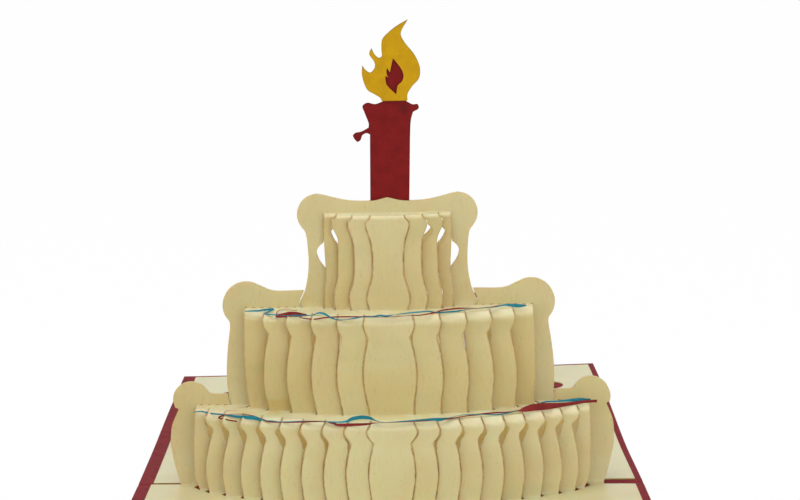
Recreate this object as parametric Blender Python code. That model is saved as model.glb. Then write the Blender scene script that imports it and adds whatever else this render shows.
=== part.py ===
# A pop up card, opened flat: a three-tier cake with a candle, cut and folded from cream card.
# Metres, +Z up. X runs along the card's crease and the front leaf lies towards -Y.
# The origin is at the middle of the crease, on the underside of the cover.

import math

import bmesh
import bpy
from mathutils import Matrix, Vector

# Driving dimensions of the cover
CARD_WIDTH = 0.150
LEAF_DEPTH = 0.150
COVER_THICKNESS = 0.0004
SCORE_WIDTH = 0.0012
SCORE_DEPTH = 0.00015

# The cream sheet that each half of the cake is folded from
SHEET_THICKNESS = 0.00035
SHEET_BORDER = 0.0033
SHEET_SHIFT_X = 0.0007
CREASE_SETBACK = 0.0009
KERF = 0.0003
CLEARANCE = 0.0003
FOLD_WELD = 0.000001

# The candle, the flames and the streamers
CANDLE_THICKNESS = 0.0004
CANDLE_HALF_WIDTH = 0.0055
CANDLE_SHIFT_X = 0.0004
CANDLE_FOOT_DROP = 0.008
CANDLE_RISE = 0.0319
FLAME_THICKNESS = 0.0003
STREAMER_THICKNESS = 0.00025

# The round window of the rear panel, measured in from the panel's right and far edges
WINDOW_RADIUS = 0.0055
WINDOW_INSET = (0.0172, 0.0300)
WINDOW_SIDES = 32

# Each tier: its height, how far its opening lies inside the edge of what it stands on, how many strips
# stand on one side of the middle, and the turn that spaces them as on a round cake. The strips stand out
# from the wall by depth_middle in the middle and depth_end at the ends; on the upper tiers these are set
# back from the tier below. The edge of a strip is given as (share of the height below the top fold, distance
# past the body's widest place), and the small windows beside the necks as (share of the height below the
# top fold, length, width), from the middle out; the last window serves for all further cuts.
LOWER_TIER = {
    "height": 0.0235,
    "set_back_side": 0.0135,
    "strips": 9,
    "spread": math.radians(46.0),
    "depth_middle": 0.0250,
    "depth_end": 0.0060,
    "edge": [(0.0, -0.0004), (0.110, 0.0010), (0.265, -0.0012), (0.700, 0.0), (1.0, -0.0009)],
    "edge_steps": (2, 3, 2, 1),
    "windows": [(0.255, 0.0044, 0.0005), (0.255, 0.0044, 0.0008), (0.255, 0.0044, 0.0014)],
}
MIDDLE_TIER = {
    "height": 0.0289,
    "set_back_side": 0.0156,
    "strips": 5,
    "spread": math.radians(37.0),
    "set_back_middle": 0.0090,
    "set_back_end": 0.0010,
    "edge": [(0.0, -0.0008), (0.075, 0.0003), (0.220, -0.0014), (0.660, 0.0), (1.0, -0.0012)],
    "edge_steps": (2, 3, 3, 2),
    "windows": [(0.200, 0.0046, 0.0009), (0.215, 0.0052, 0.0013)],
}
UPPER_TIER = {
    "height": 0.0276,
    "set_back_side": 0.0235,
    "strips": 3,
    "spread": math.radians(55.0),
    "set_back_middle": 0.0092,
    "set_back_end": 0.0030,
    "edge": [(0.0, -0.0008), (0.065, 0.0012), (0.240, -0.0007), (0.420, -0.0011), (0.640, -0.0009),
             (0.900, 0.0010), (1.0, -0.0002)],
    "edge_steps": (2, 3, 2, 1, 3, 2),
    "windows": [(0.190, 0.0050, 0.0002), (0.196, 0.0054, 0.0019), (0.250, 0.0060, 0.0020),
                (0.435, 0.0084, 0.0022)],
}
TIERS = [LOWER_TIER, MIDDLE_TIER, UPPER_TIER]

# The standing wall beside each tier, on one side: the wing that rises above the tier's top, the round lobe
# at its outer end, and the leg below the lobe. X is measured outwards from the tier's opening and heights
# from its top; the leg's points are (X, share of the tier's height below the top), the last its foot.
LOWER_WALL = {
    "wing_height": 0.0034,
    "wing_bend": (-0.0050, 0.0036),
    "lobe_centre": (0.0009, 0.0019),
    "lobe_radius": 0.0052,
    "lobe_from": math.radians(138.0),
    "lobe_to": math.radians(-36.0),
    "leg": [(0.0060, 0.136), (0.0070, 0.270), (0.0073, 0.450), (0.0062, 0.770), (0.0046, 1.0)],
}
MIDDLE_WALL = {
    "wing_height": 0.0052,
    "wing_bend": (-0.0094, 0.0051),
    "lobe_centre": (-0.0009, 0.0010),
    "lobe_radius": 0.0070,
    "lobe_from": math.radians(132.0),
    "lobe_to": math.radians(-44.0),
    "leg": [(0.0041, 0.187), (0.0048, 0.343), (0.0055, 0.700), (0.0049, 1.0)],
}
UPPER_WALL = {
    "wing_height": 0.0046,
    "wing_bend": (-0.0098, 0.0036),
    "lobe_centre": (0.0013, -0.0001),
    "lobe_radius": 0.0059,
    "lobe_from": math.radians(112.0),
    "lobe_to": math.radians(-35.0),
    "leg": [(0.0046, 0.225), (0.0041, 0.536), (0.0052, 0.797), (0.0067, 0.942), (0.0062, 1.0)],
}
WALLS = [LOWER_WALL, MIDDLE_WALL, UPPER_WALL]

# Levels and places that follow from the sizes above
PANEL_LEVEL = COVER_THICKNESS + CLEARANCE + SHEET_THICKNESS / 2
PANEL_HALF_WIDTH = CARD_WIDTH / 2 - SHEET_BORDER
WALL_OFFSET = CANDLE_THICKNESS / 2 + CLEARANCE + SHEET_THICKNESS / 2
PANEL_DEPTH = LEAF_DEPTH - SHEET_BORDER - WALL_OFFSET


def stack_tiers():
    """Adds to each tier its base and top levels, its opening and its depths."""
    level = PANEL_LEVEL
    opening = PANEL_HALF_WIDTH
    for index, tier in enumerate(TIERS):
        opening -= tier["set_back_side"]
        tier["opening"] = opening
        tier["base"] = level
        level += tier["height"]
        tier["top"] = level
        if index:
            below = TIERS[index - 1]
            tier["depth_middle"] = below["depth_middle"] - tier["set_back_middle"]
            tier["depth_end"] = below["depth_end"] - tier["set_back_end"]


stack_tiers()
CANDLE_TOP = UPPER_TIER["top"] + CANDLE_RISE


def clear_scene():
    for item in list(bpy.data.objects):
        bpy.data.objects.remove(item, do_unlink=True)


def make_material(name, colour, roughness):
    material = bpy.data.materials.new(name)
    material.use_nodes = True
    shader = material.node_tree.nodes["Principled BSDF"]
    shader.inputs["Base Color"].default_value = (*colour, 1.0)
    shader.inputs["Roughness"].default_value = roughness
    shader.inputs["Metallic"].default_value = 0.0
    return material


def smooth_run(points, steps):
    """Points along a Catmull-Rom curve through the given points, ends included."""
    ends = [2 * points[0] - points[1], *points, 2 * points[-1] - points[-2]]
    run = []
    for before, start, end, after in zip(ends, ends[1:], ends[2:], ends[3:]):
        for step in range(steps):
            t = step / steps
            run.append(
                0.5
                * (
                    2 * start
                    + (end - before) * t
                    + (2 * before - 5 * start + 4 * end - after) * t**2
                    + (3 * start - 3 * end + after - before) * t**3
                )
            )
    run.append(points[-1].copy())
    return run


def smooth_outline(runs, steps):
    """A closed outline of smooth runs that meet in sharp corners."""
    outline = []
    for index, run in enumerate(runs):
        points = [Vector(point) for point in run]
        points.append(Vector(runs[(index + 1) % len(runs)][0]))
        if len(points) == 2:
            outline.append(points[0])
        else:
            outline.extend(smooth_run(points, steps)[:-1])
    return outline


def arc(centre, radius, start, end, steps):
    return [
        Vector((
            centre[0] + radius * math.cos(start + (end - start) * step / steps),
            centre[1] + radius * math.sin(start + (end - start) * step / steps),
        ))
        for step in range(steps + 1)
    ]


def cut_place(tier, cut):
    """Where cut number 1, 2, ... lies along X, for strips that stand on a round tier."""
    turn = tier["spread"] * cut / (tier["strips"] + 1)
    return tier["opening"] * math.sin(turn) / math.sin(tier["spread"])


def strip_depth(tier, strip):
    """How far strip 0, 1, ... stands out from the wall."""
    widest_turn = math.radians(56.0)
    last = math.cos(widest_turn)
    share = (math.cos(widest_turn * strip / tier["strips"]) - last) / (1 - last)
    return tier["depth_end"] + (tier["depth_middle"] - tier["depth_end"]) * share


def smooth_value(keys, place):
    """A smooth curve of one value through (place, value) keys, level beyond both ends."""
    if place <= keys[0][0]:
        return keys[0][1]
    if place >= keys[-1][0]:
        return keys[-1][1]
    slopes = []
    for index, key in enumerate(keys):
        before = keys[max(index - 1, 0)]
        after = keys[min(index + 1, len(keys) - 1)]
        turns_back = (key[1] - before[1]) * (after[1] - key[1]) <= 0
        slopes.append(0.0 if turns_back else (after[1] - before[1]) / (after[0] - before[0]))
    index = next(i for i, key in enumerate(keys[1:]) if place <= key[0])
    (start, low), (end, high) = keys[index], keys[index + 1]
    span = end - start
    t = (place - start) / span
    return (
        (2 * t**3 - 3 * t**2 + 1) * low
        + (t**3 - 2 * t**2 + t) * span * slopes[index]
        + (3 * t**2 - 2 * t**3) * high
        + (t**3 - t**2) * span * slopes[index + 1]
    )


def edge_drops(tier):
    """Drops below the top fold at which a strip's edges have a point."""
    keys = [share for share, _ in tier["edge"]]
    shares = []
    for start, end, steps in zip(keys, keys[1:], tier["edge_steps"]):
        shares.extend(start + (end - start) * step / steps for step in range(steps))
    return [share * tier["height"] for share in [*shares, 1.0]]


def window_bulge(tier, cut, drop):
    """Extra width of the small window beside a strip's neck."""
    share, length, width = tier["windows"][min(cut, len(tier["windows"])) - 1]
    reach = (drop - share * tier["height"]) / (length / 2)
    return width * max(0.0, 1 - reach**2)


def near_edge(tier, cut, drop):
    """X of the cut's side towards the middle, on the strip that it ends."""
    return cut_place(tier, cut) + smooth_value(tier["edge"], drop / tier["height"]) - KERF / 2


def far_edge(tier, cut, drop, shift):
    """X of the cut's other side, on a face whose top fold lies shift further along the sheet."""
    offset = smooth_value(tier["edge"], (drop - shift) / tier["height"])
    return cut_place(tier, cut) + offset + KERF / 2 + window_bulge(tier, cut, drop)


def depth_step(tier, cut):
    inner = strip_depth(tier, cut - 1)
    outer = strip_depth(tier, cut) if cut <= tier["strips"] else 0.0
    return inner - outer


def standing_base(tier):
    """The line where a tier stands on the face below it, from the leg's inner corner to the middle.

    Each strip's fold is followed by the blind end of its cut and the cut's side, as (x, depth).
    """
    line = []
    for cut in range(tier["strips"] + 1, 0, -1):
        step = depth_step(tier, cut)
        outer_depth = strip_depth(tier, cut - 1) - step
        inner_depth = strip_depth(tier, cut - 1)
        line.append((far_edge(tier, cut, tier["height"], step), outer_depth))
        line.append((near_edge(tier, cut, tier["height"]) + KERF, inner_depth))
        line.append((near_edge(tier, cut, tier["height"]), inner_depth))
    return line


def top_edge(tier):
    """The stepped front edge of a tier's top, from the middle out to the wall, as (x, depth)."""
    line = []
    for cut in range(1, tier["strips"] + 2):
        inner_depth = strip_depth(tier, cut - 1)
        outer_depth = inner_depth - depth_step(tier, cut)
        corner = near_edge(tier, cut, 0.0)
        line.append((corner, inner_depth))
        line.append((corner, outer_depth))
        if cut <= tier["strips"]:
            line.append((far_edge(tier, cut, 0.0, 0.0), outer_depth))
    return line


def both_sides(half):
    """A line from the middle out, with its mirror image before it."""
    return [(-x, other) for x, other in reversed(half)] + list(half)


def add_strips(sheet, tier):
    """The upright strips of one tier: each is a flat face with curved sides between two folds."""
    drops = edge_drops(tier)
    for strip in range(tier["strips"] + 1):
        depth = strip_depth(tier, strip)
        outer = [(near_edge(tier, strip + 1, drop), -depth, tier["top"] - drop) for drop in drops]
        if strip == 0:
            inner = [(-x, y, z) for x, y, z in outer]
        else:
            step = depth_step(tier, strip)
            inner = [(far_edge(tier, strip, drop, step), -depth, tier["top"] - drop) for drop in drops]
        for side in (1, -1) if strip else (1,):
            sheet.append([(side * x, y, z) for x, y, z in outer + inner[::-1]])


def leg_foot(tier, wall):
    """X of the outer corner of a leg's foot."""
    return tier["opening"] + wall["leg"][-1][0]


def wall_outline(tier, wall, inner_end):
    """Outer edge of the wall beside one tier, from the wing's inner end down to the leg's foot."""
    corner = Vector((tier["opening"], tier["top"]))
    centre = corner + Vector(wall["lobe_centre"])
    lobe = arc(centre, wall["lobe_radius"], wall["lobe_from"], wall["lobe_to"], 8)
    wing = [Vector((inner_end, tier["top"] + wall["wing_height"])), corner + Vector(wall["wing_bend"])]
    leg = [corner + Vector((x, -share * tier["height"])) for x, share in wall["leg"]]
    wing_run = smooth_run([*wing, lobe[0]], 2)
    leg_run = smooth_run([lobe[-1], *leg], 2)
    return [(point.x, point.y) for point in wing_run[:-1] + lobe[:-1] + leg_run]


def leg_inner_edge(tier):
    """Inner edge of the leg beside a tier's opening, from its foot up to the tier's top."""
    cut = tier["strips"] + 1
    step = depth_step(tier, cut)
    drops = edge_drops(tier)[::-1]
    return [(far_edge(tier, cut, drop, step), tier["top"] - drop) for drop in drops]


def wing_slit(level):
    """The wing's inner end, going up: one cut's width outside the foot of the next tier's leg."""
    tier = TIERS[level + 1]
    wall = WALLS[level + 1]
    height = tier["base"] + WALLS[level]["wing_height"]
    leg = [(x + KERF, z) for x, z in wall_outline(tier, wall, 0.0) if z < height and x > tier["opening"]]
    slit = sorted(leg, key=lambda point: point[1])
    return [*slit, (slit[-1][0], height)]


def add_walls(sheet):
    """The standing wall: a pair of pieces beside each lower tier and a bridge at the top one."""
    for level, (tier, wall) in enumerate(zip(TIERS, WALLS)):
        fold_end = (near_edge(tier, tier["strips"] + 1, 0.0), tier["top"])
        if level + 1 < len(TIERS):
            slit = wing_slit(level)
            half = wall_outline(tier, wall, slit[-1][0])[1:] + leg_inner_edge(tier) + [fold_end] + slit
            for side in (1, -1):
                sheet.append([(side * x, 0.0, z) for x, z in half])
        else:
            outline = wall_outline(tier, wall, 0.0)
            half = outline[1:] + leg_inner_edge(tier) + [fold_end]
            mirrored = [(-x, z) for x, z in reversed(half)]
            sheet.append([(x, 0.0, z) for x, z in outline[:1] + half + mirrored])


def add_tops(sheet):
    """The level top of each tier, with its stepped front edge and the next tier's base cut from it."""
    for level, tier in enumerate(TIERS):
        front = both_sides(top_edge(tier))
        back = []
        if level + 1 < len(TIERS):
            foot = leg_foot(TIERS[level + 1], WALLS[level + 1])
            half = [(foot + KERF, 0.0), (foot, 0.0)] + standing_base(TIERS[level + 1])
            back = half + [(-x, depth) for x, depth in reversed(half)]
        sheet.append([(x, -depth, tier["top"]) for x, depth in front + back])


def add_panel(sheet, shift):
    """The panel that is glued to the leaf, with the lower tier's base cut from it."""
    foot = leg_foot(LOWER_TIER, LOWER_WALL)
    half = [(foot, 0.0)] + standing_base(LOWER_TIER)
    back = half + [(-x, depth) for x, depth in reversed(half)]
    left = shift - PANEL_HALF_WIDTH
    right = shift + PANEL_HALF_WIDTH
    front = [
        (-foot - KERF, CREASE_SETBACK),
        (left, CREASE_SETBACK),
        (left, PANEL_DEPTH),
        (right, PANEL_DEPTH),
        (right, CREASE_SETBACK),
        (foot + KERF, CREASE_SETBACK),
    ]
    sheet.append([(x, -depth, PANEL_LEVEL) for x, depth in front + back])


def make_half_cake(name, material, turn, shift):
    """One folded sheet: panel, strips, tops and wall, given its thickness and stood at the crease."""
    sheet = []
    add_panel(sheet, shift)
    for tier in TIERS:
        add_strips(sheet, tier)
    add_tops(sheet)
    add_walls(sheet)
    folded = bmesh.new()
    for corners in sheet:
        folded.faces.new([folded.verts.new(corner) for corner in corners])
    bmesh.ops.remove_doubles(folded, verts=folded.verts, dist=FOLD_WELD)
    bmesh.ops.recalc_face_normals(folded, faces=folded.faces)
    move = Matrix.Rotation(turn, 4, "Z") @ Matrix.Translation((0.0, -WALL_OFFSET, 0.0))
    bmesh.ops.transform(folded, matrix=move, verts=folded.verts)
    mesh = bpy.data.meshes.new(name)
    folded.to_mesh(mesh)
    folded.free()
    mesh.materials.append(material)
    half = bpy.data.objects.new(name, mesh)
    bpy.context.collection.objects.link(half)
    thicken = half.modifiers.new("thickness", "SOLIDIFY")
    thicken.thickness = SHEET_THICKNESS
    thicken.offset = 0.0
    thicken.use_even_offset = True
    thicken.use_quality_normals = True
    return half


def cut_round_window(half):
    """A round hole through the rear panel, which shows the cover behind it."""
    bpy.ops.mesh.primitive_cylinder_add(
        vertices=WINDOW_SIDES,
        radius=WINDOW_RADIUS,
        depth=20 * SHEET_THICKNESS,
        location=(
            SHEET_SHIFT_X + PANEL_HALF_WIDTH - WINDOW_INSET[0],
            WALL_OFFSET + PANEL_DEPTH - WINDOW_INSET[1],
            PANEL_LEVEL,
        ),
    )
    cutter = bpy.context.object
    cutter.name = "window_cutter"
    cutter.hide_render = True
    cutter.display_type = "WIRE"
    cut = half.modifiers.new("round window", "BOOLEAN")
    cut.operation = "DIFFERENCE"
    cut.object = cutter


def make_flat_piece(name, material, outline, holes, place, thickness):
    """A flat cut piece: outline and holes filled in a plane, extruded, then placed by a matrix."""
    shape = bmesh.new()
    edges = []
    for loop in [outline, *holes]:
        corners = [shape.verts.new((point[0], point[1], 0.0)) for point in loop]
        edges.extend(shape.edges.new(pair) for pair in zip(corners, corners[1:] + corners[:1]))
    bmesh.ops.triangle_fill(shape, edges=edges, use_beauty=True, use_dissolve=False)
    filled = list(shape.faces)
    raised = bmesh.ops.extrude_face_region(shape, geom=filled)
    lifted = [item for item in raised["geom"] if isinstance(item, bmesh.types.BMVert)]
    bmesh.ops.translate(shape, vec=(0.0, 0.0, thickness), verts=lifted)
    bmesh.ops.transform(shape, matrix=place, verts=shape.verts)
    bmesh.ops.recalc_face_normals(shape, faces=shape.faces)
    mesh = bpy.data.meshes.new(name)
    shape.to_mesh(mesh)
    shape.free()
    mesh.materials.append(material)
    piece = bpy.data.objects.new(name, mesh)
    bpy.context.collection.objects.link(piece)
    return piece


def upright(shift, back_face):
    """Stands a flat piece up in a plane of constant Y, with its back at back_face."""
    return Matrix.Translation((shift, back_face, 0.0)) @ Matrix.Rotation(math.pi / 2, 4, "X")


def make_cover(material):
    """The folded cover, opened flat, with its scored crease on the inside."""
    section = [
        (-LEAF_DEPTH, 0.0),
        (LEAF_DEPTH, 0.0),
        (LEAF_DEPTH, COVER_THICKNESS),
        (SCORE_WIDTH / 2, COVER_THICKNESS),
        (0.0, COVER_THICKNESS - SCORE_DEPTH),
        (-SCORE_WIDTH / 2, COVER_THICKNESS),
        (-LEAF_DEPTH, COVER_THICKNESS),
    ]
    across = Matrix(((0, 0, 1, -CARD_WIDTH / 2), (1, 0, 0, 0), (0, 1, 0, 0), (0, 0, 0, 1)))
    return make_flat_piece("cover", material, section, [], across, CARD_WIDTH)


def candle_outline():
    """The candle: a straight body with melted lips, a drip on the left and a tongue behind the flame."""
    top = CANDLE_TOP
    side = CANDLE_HALF_WIDTH
    foot = UPPER_TIER["top"] - CANDLE_FOOT_DROP
    return smooth_outline(
        [
            [(-side, foot)],
            [(side, foot)],
            [(side + 0.0002, top - 0.0105), (side + 0.0005, top - 0.0058), (side + 0.0012, top - 0.0032)],
            [(side + 0.0015, top - 0.0028), (side + 0.0029, top - 0.0019), (side + 0.0026, top - 0.0007),
             (side + 0.0011, top - 0.0007)],
            [(0.0049, top + 0.0002), (0.0048, top + 0.0020), (0.0056, top + 0.0070),
             (0.0046, top + 0.0115), (0.0018, top + 0.0150), (-0.0010, top + 0.0115),
             (-0.0022, top + 0.0060), (-0.0016, top + 0.0018)],
            [(-0.0020, top + 0.0001), (-0.0042, top - 0.0006), (-0.0064, top - 0.0002),
             (-0.0078, top - 0.0012), (-0.0072, top - 0.0031), (-0.0061, top - 0.0060)],
            [(-0.0061, top - 0.0074), (-0.0081, top - 0.0085), (-0.0099, top - 0.0089)],
            [(-0.0107, top - 0.0097), (-0.0102, top - 0.0107), (-0.0093, top - 0.0115),
             (-0.0084, top - 0.0109), (-0.0079, top - 0.0096), (-0.0067, top - 0.0090)],
            [(-side, top - 0.0094)],
        ],
        3,
    )


def flame_outline():
    top = CANDLE_TOP
    return smooth_outline(
        [
            [(0.0052, top + 0.0004), (0.0053, top + 0.0025), (0.0068, top + 0.0048),
             (0.0086, top + 0.0069), (0.0088, top + 0.0101), (0.0072, top + 0.0137),
             (0.0045, top + 0.0171), (0.0034, top + 0.0199)],
            [(0.0054, top + 0.0237), (0.0021, top + 0.0218), (-0.0004, top + 0.0198),
             (-0.0020, top + 0.0179), (-0.0022, top + 0.0152), (-0.0021, top + 0.0133),
             (-0.0030, top + 0.0127), (-0.0042, top + 0.0137)],
            [(-0.0051, top + 0.0155), (-0.0057, top + 0.0138), (-0.0043, top + 0.0116),
             (-0.0042, top + 0.0099), (-0.0054, top + 0.0085), (-0.0067, top + 0.0091)],
            [(-0.0078, top + 0.0105), (-0.0078, top + 0.0075), (-0.0065, top + 0.0038),
             (-0.0043, top + 0.0023), (-0.0027, top + 0.0013)],
            [(-0.0022, top + 0.0003)],
        ],
        2,
    )


def flame_cutout():
    top = CANDLE_TOP
    return smooth_outline(
        [
            [(0.0011, top + 0.0126), (0.0022, top + 0.0113), (0.0036, top + 0.0093),
             (0.0041, top + 0.0074), (0.0036, top + 0.0059), (0.0024, top + 0.0047)],
            [(0.0020, top + 0.0022), (0.0005, top + 0.0036), (-0.0007, top + 0.0049),
             (-0.0011, top + 0.0064)],
            [(-0.0011, top + 0.0076)],
            [(-0.0004, top + 0.0071), (-0.0008, top + 0.0084)],
            [(-0.0007, top + 0.0099)],
            [(0.0002, top + 0.0086), (0.0006, top + 0.0106)],
        ],
        2,
    )


def make_candle_and_flames(candle_card, flame_card):
    candle_place = upright(CANDLE_SHIFT_X, CANDLE_THICKNESS / 2)
    make_flat_piece("candle", candle_card, candle_outline(), [], candle_place, CANDLE_THICKNESS)
    face = CANDLE_THICKNESS / 2 + CLEARANCE
    for name, back_face in (("flame_front", -face), ("flame_rear", face + FLAME_THICKNESS)):
        place = upright(CANDLE_SHIFT_X, back_face)
        make_flat_piece(name, flame_card, flame_outline(), [flame_cutout()], place, FLAME_THICKNESS)


def ribbon_outline(stations, steps):
    """Outline of a flat streamer from (x, y, width) stations along its middle line."""
    middle = smooth_run([Vector(station) for station in stations], steps)
    left = []
    right = []
    for index, point in enumerate(middle):
        ahead = middle[min(index + 1, len(middle) - 1)] - middle[max(index - 1, 0)]
        side = Vector((-ahead.y, ahead.x)).normalized() * point.z / 2
        left.append((point.x + side.x, point.y + side.y))
        right.append((point.x - side.x, point.y - side.y))
    return left + right[::-1]


# Streamers of one half: the tier they lie on, their layer there, and stations along the middle line as
# (share of the tier's half width, distance behind its front edge, width)
STREAMERS = {
    "streamer_red_upper": (MIDDLE_TIER, 0, [
        (-0.79, 0.0016, 0.0012), (-0.70, 0.0020, 0.0030), (-0.59, 0.0018, 0.0028),
        (-0.45, 0.0004, 0.0009), (-0.26, 0.0007, 0.0009), (0.00, 0.0006, 0.0009),
        (0.19, 0.0003, 0.0011), (0.35, 0.0008, 0.0011), (0.56, 0.0020, 0.0007),
    ]),
    "streamer_teal_upper": (MIDDLE_TIER, 1, [
        (-0.95, 0.0010, 0.0014), (-0.81, 0.0022, 0.0022), (-0.67, 0.0012, 0.0009),
        (-0.48, 0.0026, 0.0012), (-0.36, -0.0004, 0.0014), (-0.23, -0.0006, 0.0013),
        (-0.09, 0.0006, 0.0010), (0.16, 0.0020, 0.0010), (0.38, 0.0008, 0.0010),
        (0.61, 0.0012, 0.0010), (0.76, 0.0018, 0.0024), (0.93, 0.0016, 0.0014),
    ]),
    "streamer_red_lower": (LOWER_TIER, 0, [
        (-0.91, 0.0018, 0.0008), (-0.82, 0.0012, 0.0012), (-0.69, 0.0014, 0.0009),
        (-0.52, 0.0010, 0.0009), (-0.34, 0.0006, 0.0010), (-0.21, -0.0002, 0.0014),
        (-0.05, 0.0004, 0.0010), (0.17, 0.0010, 0.0009), (0.45, 0.0012, 0.0010),
        (0.65, 0.0018, 0.0016), (0.76, 0.0030, 0.0036), (0.86, 0.0028, 0.0024),
        (0.96, 0.0018, 0.0010),
    ]),
    "streamer_teal_lower": (LOWER_TIER, 1, [
        (-0.96, 0.0020, 0.0010), (-0.86, 0.0018, 0.0012), (-0.72, 0.0020, 0.0026),
        (-0.62, 0.0014, 0.0022), (-0.46, 0.0008, 0.0010), (-0.26, 0.0010, 0.0010),
        (-0.13, 0.0036, 0.0013), (-0.03, 0.0010, 0.0010), (0.14, 0.0010, 0.0010),
        (0.31, 0.0018, 0.0016), (0.48, 0.0012, 0.0010), (0.69, 0.0012, 0.0010),
        (0.82, 0.0034, 0.0022), (0.94, 0.0032, 0.0014),
    ]),
}


def front_edge(tier, x):
    """Smooth line through a tier's stepped front edge: its depth in front of the wall at x."""
    turn = math.asin(min(1.0, abs(x) / tier["opening"]) * math.sin(tier["spread"]))
    strip = (tier["strips"] + 1) * turn / tier["spread"] - 0.5
    return strip_depth(tier, min(max(strip, 0.0), tier["strips"]))


def make_streamers(teal, red):
    """Cut paper garlands on the tops of the two lower tiers: red below, teal laid over it."""
    for name, (tier, layer, stations) in STREAMERS.items():
        material = red if layer == 0 else teal
        lift = CLEARANCE + layer * (STREAMER_THICKNESS + CLEARANCE)
        bottom = tier["top"] + SHEET_THICKNESS / 2 + lift
        route = []
        for share, behind, width in stations:
            x = share * tier["opening"]
            route.append((x, behind - front_edge(tier, x) - WALL_OFFSET, width))
        outline = ribbon_outline(route, 3)
        for half, turn in (("front", 0.0), ("rear", math.pi)):
            place = Matrix.Rotation(turn, 4, "Z") @ Matrix.Translation((0.0, 0.0, bottom))
            make_flat_piece(f"{name}_{half}", material, outline, [], place, STREAMER_THICKNESS)


def build():
    clear_scene()
    cover_card = make_material("dark red cover card", (0.235, 0.035, 0.042), 0.75)
    cream_card = make_material("cream card", (0.610, 0.520, 0.300), 0.80)
    candle_card = make_material("dark red card", (0.200, 0.012, 0.014), 0.70)
    flame_card = make_material("golden yellow card", (0.600, 0.370, 0.005), 0.70)
    teal_paper = make_material("teal paper", (0.015, 0.190, 0.240), 0.60)
    red_paper = make_material("deep red paper", (0.185, 0.010, 0.012), 0.60)

    make_cover(cover_card)
    make_half_cake("front_cake_sheet", cream_card, 0.0, SHEET_SHIFT_X)
    rear = make_half_cake("rear_cake_sheet", cream_card, math.pi, -SHEET_SHIFT_X)
    cut_round_window(rear)
    make_candle_and_flames(candle_card, flame_card)
    make_streamers(teal_paper, red_paper)


build()
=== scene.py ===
import math

import bmesh
import bpy
import numpy as np
from mathutils import Matrix, Vector
from mathutils.geometry import delaunay_2d_cdt


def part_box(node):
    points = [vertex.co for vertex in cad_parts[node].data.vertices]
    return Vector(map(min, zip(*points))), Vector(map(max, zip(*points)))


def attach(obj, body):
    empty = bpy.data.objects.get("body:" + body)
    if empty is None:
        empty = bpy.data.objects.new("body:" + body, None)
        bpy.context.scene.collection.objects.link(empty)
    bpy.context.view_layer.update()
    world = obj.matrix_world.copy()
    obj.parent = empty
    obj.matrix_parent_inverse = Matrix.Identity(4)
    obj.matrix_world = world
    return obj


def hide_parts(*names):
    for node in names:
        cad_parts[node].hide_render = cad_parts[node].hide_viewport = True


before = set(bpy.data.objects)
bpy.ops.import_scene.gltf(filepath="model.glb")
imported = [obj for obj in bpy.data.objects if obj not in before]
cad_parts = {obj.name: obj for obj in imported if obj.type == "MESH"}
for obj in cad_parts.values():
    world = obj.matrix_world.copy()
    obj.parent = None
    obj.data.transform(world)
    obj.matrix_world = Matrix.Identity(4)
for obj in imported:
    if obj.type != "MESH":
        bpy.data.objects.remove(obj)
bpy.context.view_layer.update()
mm = 0.001


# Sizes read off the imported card

coverLow, coverHigh = [np.array(corner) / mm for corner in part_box("cover")]
sheetLow, sheetHigh = [np.array(corner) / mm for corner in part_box("front_cake_sheet")]
flameLow, flameHigh = [np.array(corner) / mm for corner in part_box("flame_front")]

sheet = {
    "thickness": 0.35,
    "kerf": 0.1,  # width of a laser cut
    "footRadius": 0.35,  # bend where a strip or a leg rises from the face below it
    "slitWidth": 0.3,  # between a wing and the leg of the next tier, which is cut from the same wall
    "creaseSetbacks": (0.12, 2.3),  # half the gap between the two panels, at the card's left and right side
    "frontSlip": -0.5,  # how far the front panel is glued to the left of the rear one
    "wholeTurn": 56.0,  # degrees round the cake from the middle strip to the wall
    "columns": [0.0, 0.035, 0.11, 0.3, 0.5, 0.7, 0.89, 0.965, 1.0],  # across a strip, closer at its sides
    "bodyRows": 35,  # down a strip, below its head
    "footSteps": 3,  # round the bend at a foot
    "wingPoints": 97,  # along the fold of a wing
    "legPoints": 9,  # along a leg's foot
    "sidePoints": 25,  # along each side of a panel
    "wallSpacing": 1.6,  # between the points inside a wall and inside a panel
    "panelSpacing": 6.0,
    "dashes": (2.4, 0.95),  # spacing and length of the laser dashes along the fold of a wing
    "dashHeight": 0.4,  # they fade out this far above the bend
    "dashRows": [0.0, 0.0, 1.0, 1.0, 0.0],  # the rows of the bend, and above it, that a dash covers
    "dashEdge": (-0.2, 3.0),  # distance to a cut that a dash, and the card beside it, are given
    "gape": (0.22, 0.45),  # how a cut gapes at its foot: sideways and in depth, as shares of the step there
    "faceUp": 6.0,  # height above the panel below which level faces look upwards
}
sheet["level"] = sheetLow[2] + sheet["thickness"] / 2
sheet["wallOffset"] = -sheetHigh[1] + sheet["thickness"] / 2
sheet["halfWidth"] = (sheetHigh[0] - sheetLow[0]) / 2
sheet["shift"] = (sheetHigh[0] + sheetLow[0]) / 2
sheet["depth"] = -sheetLow[1] - sheet["wallOffset"]

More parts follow.
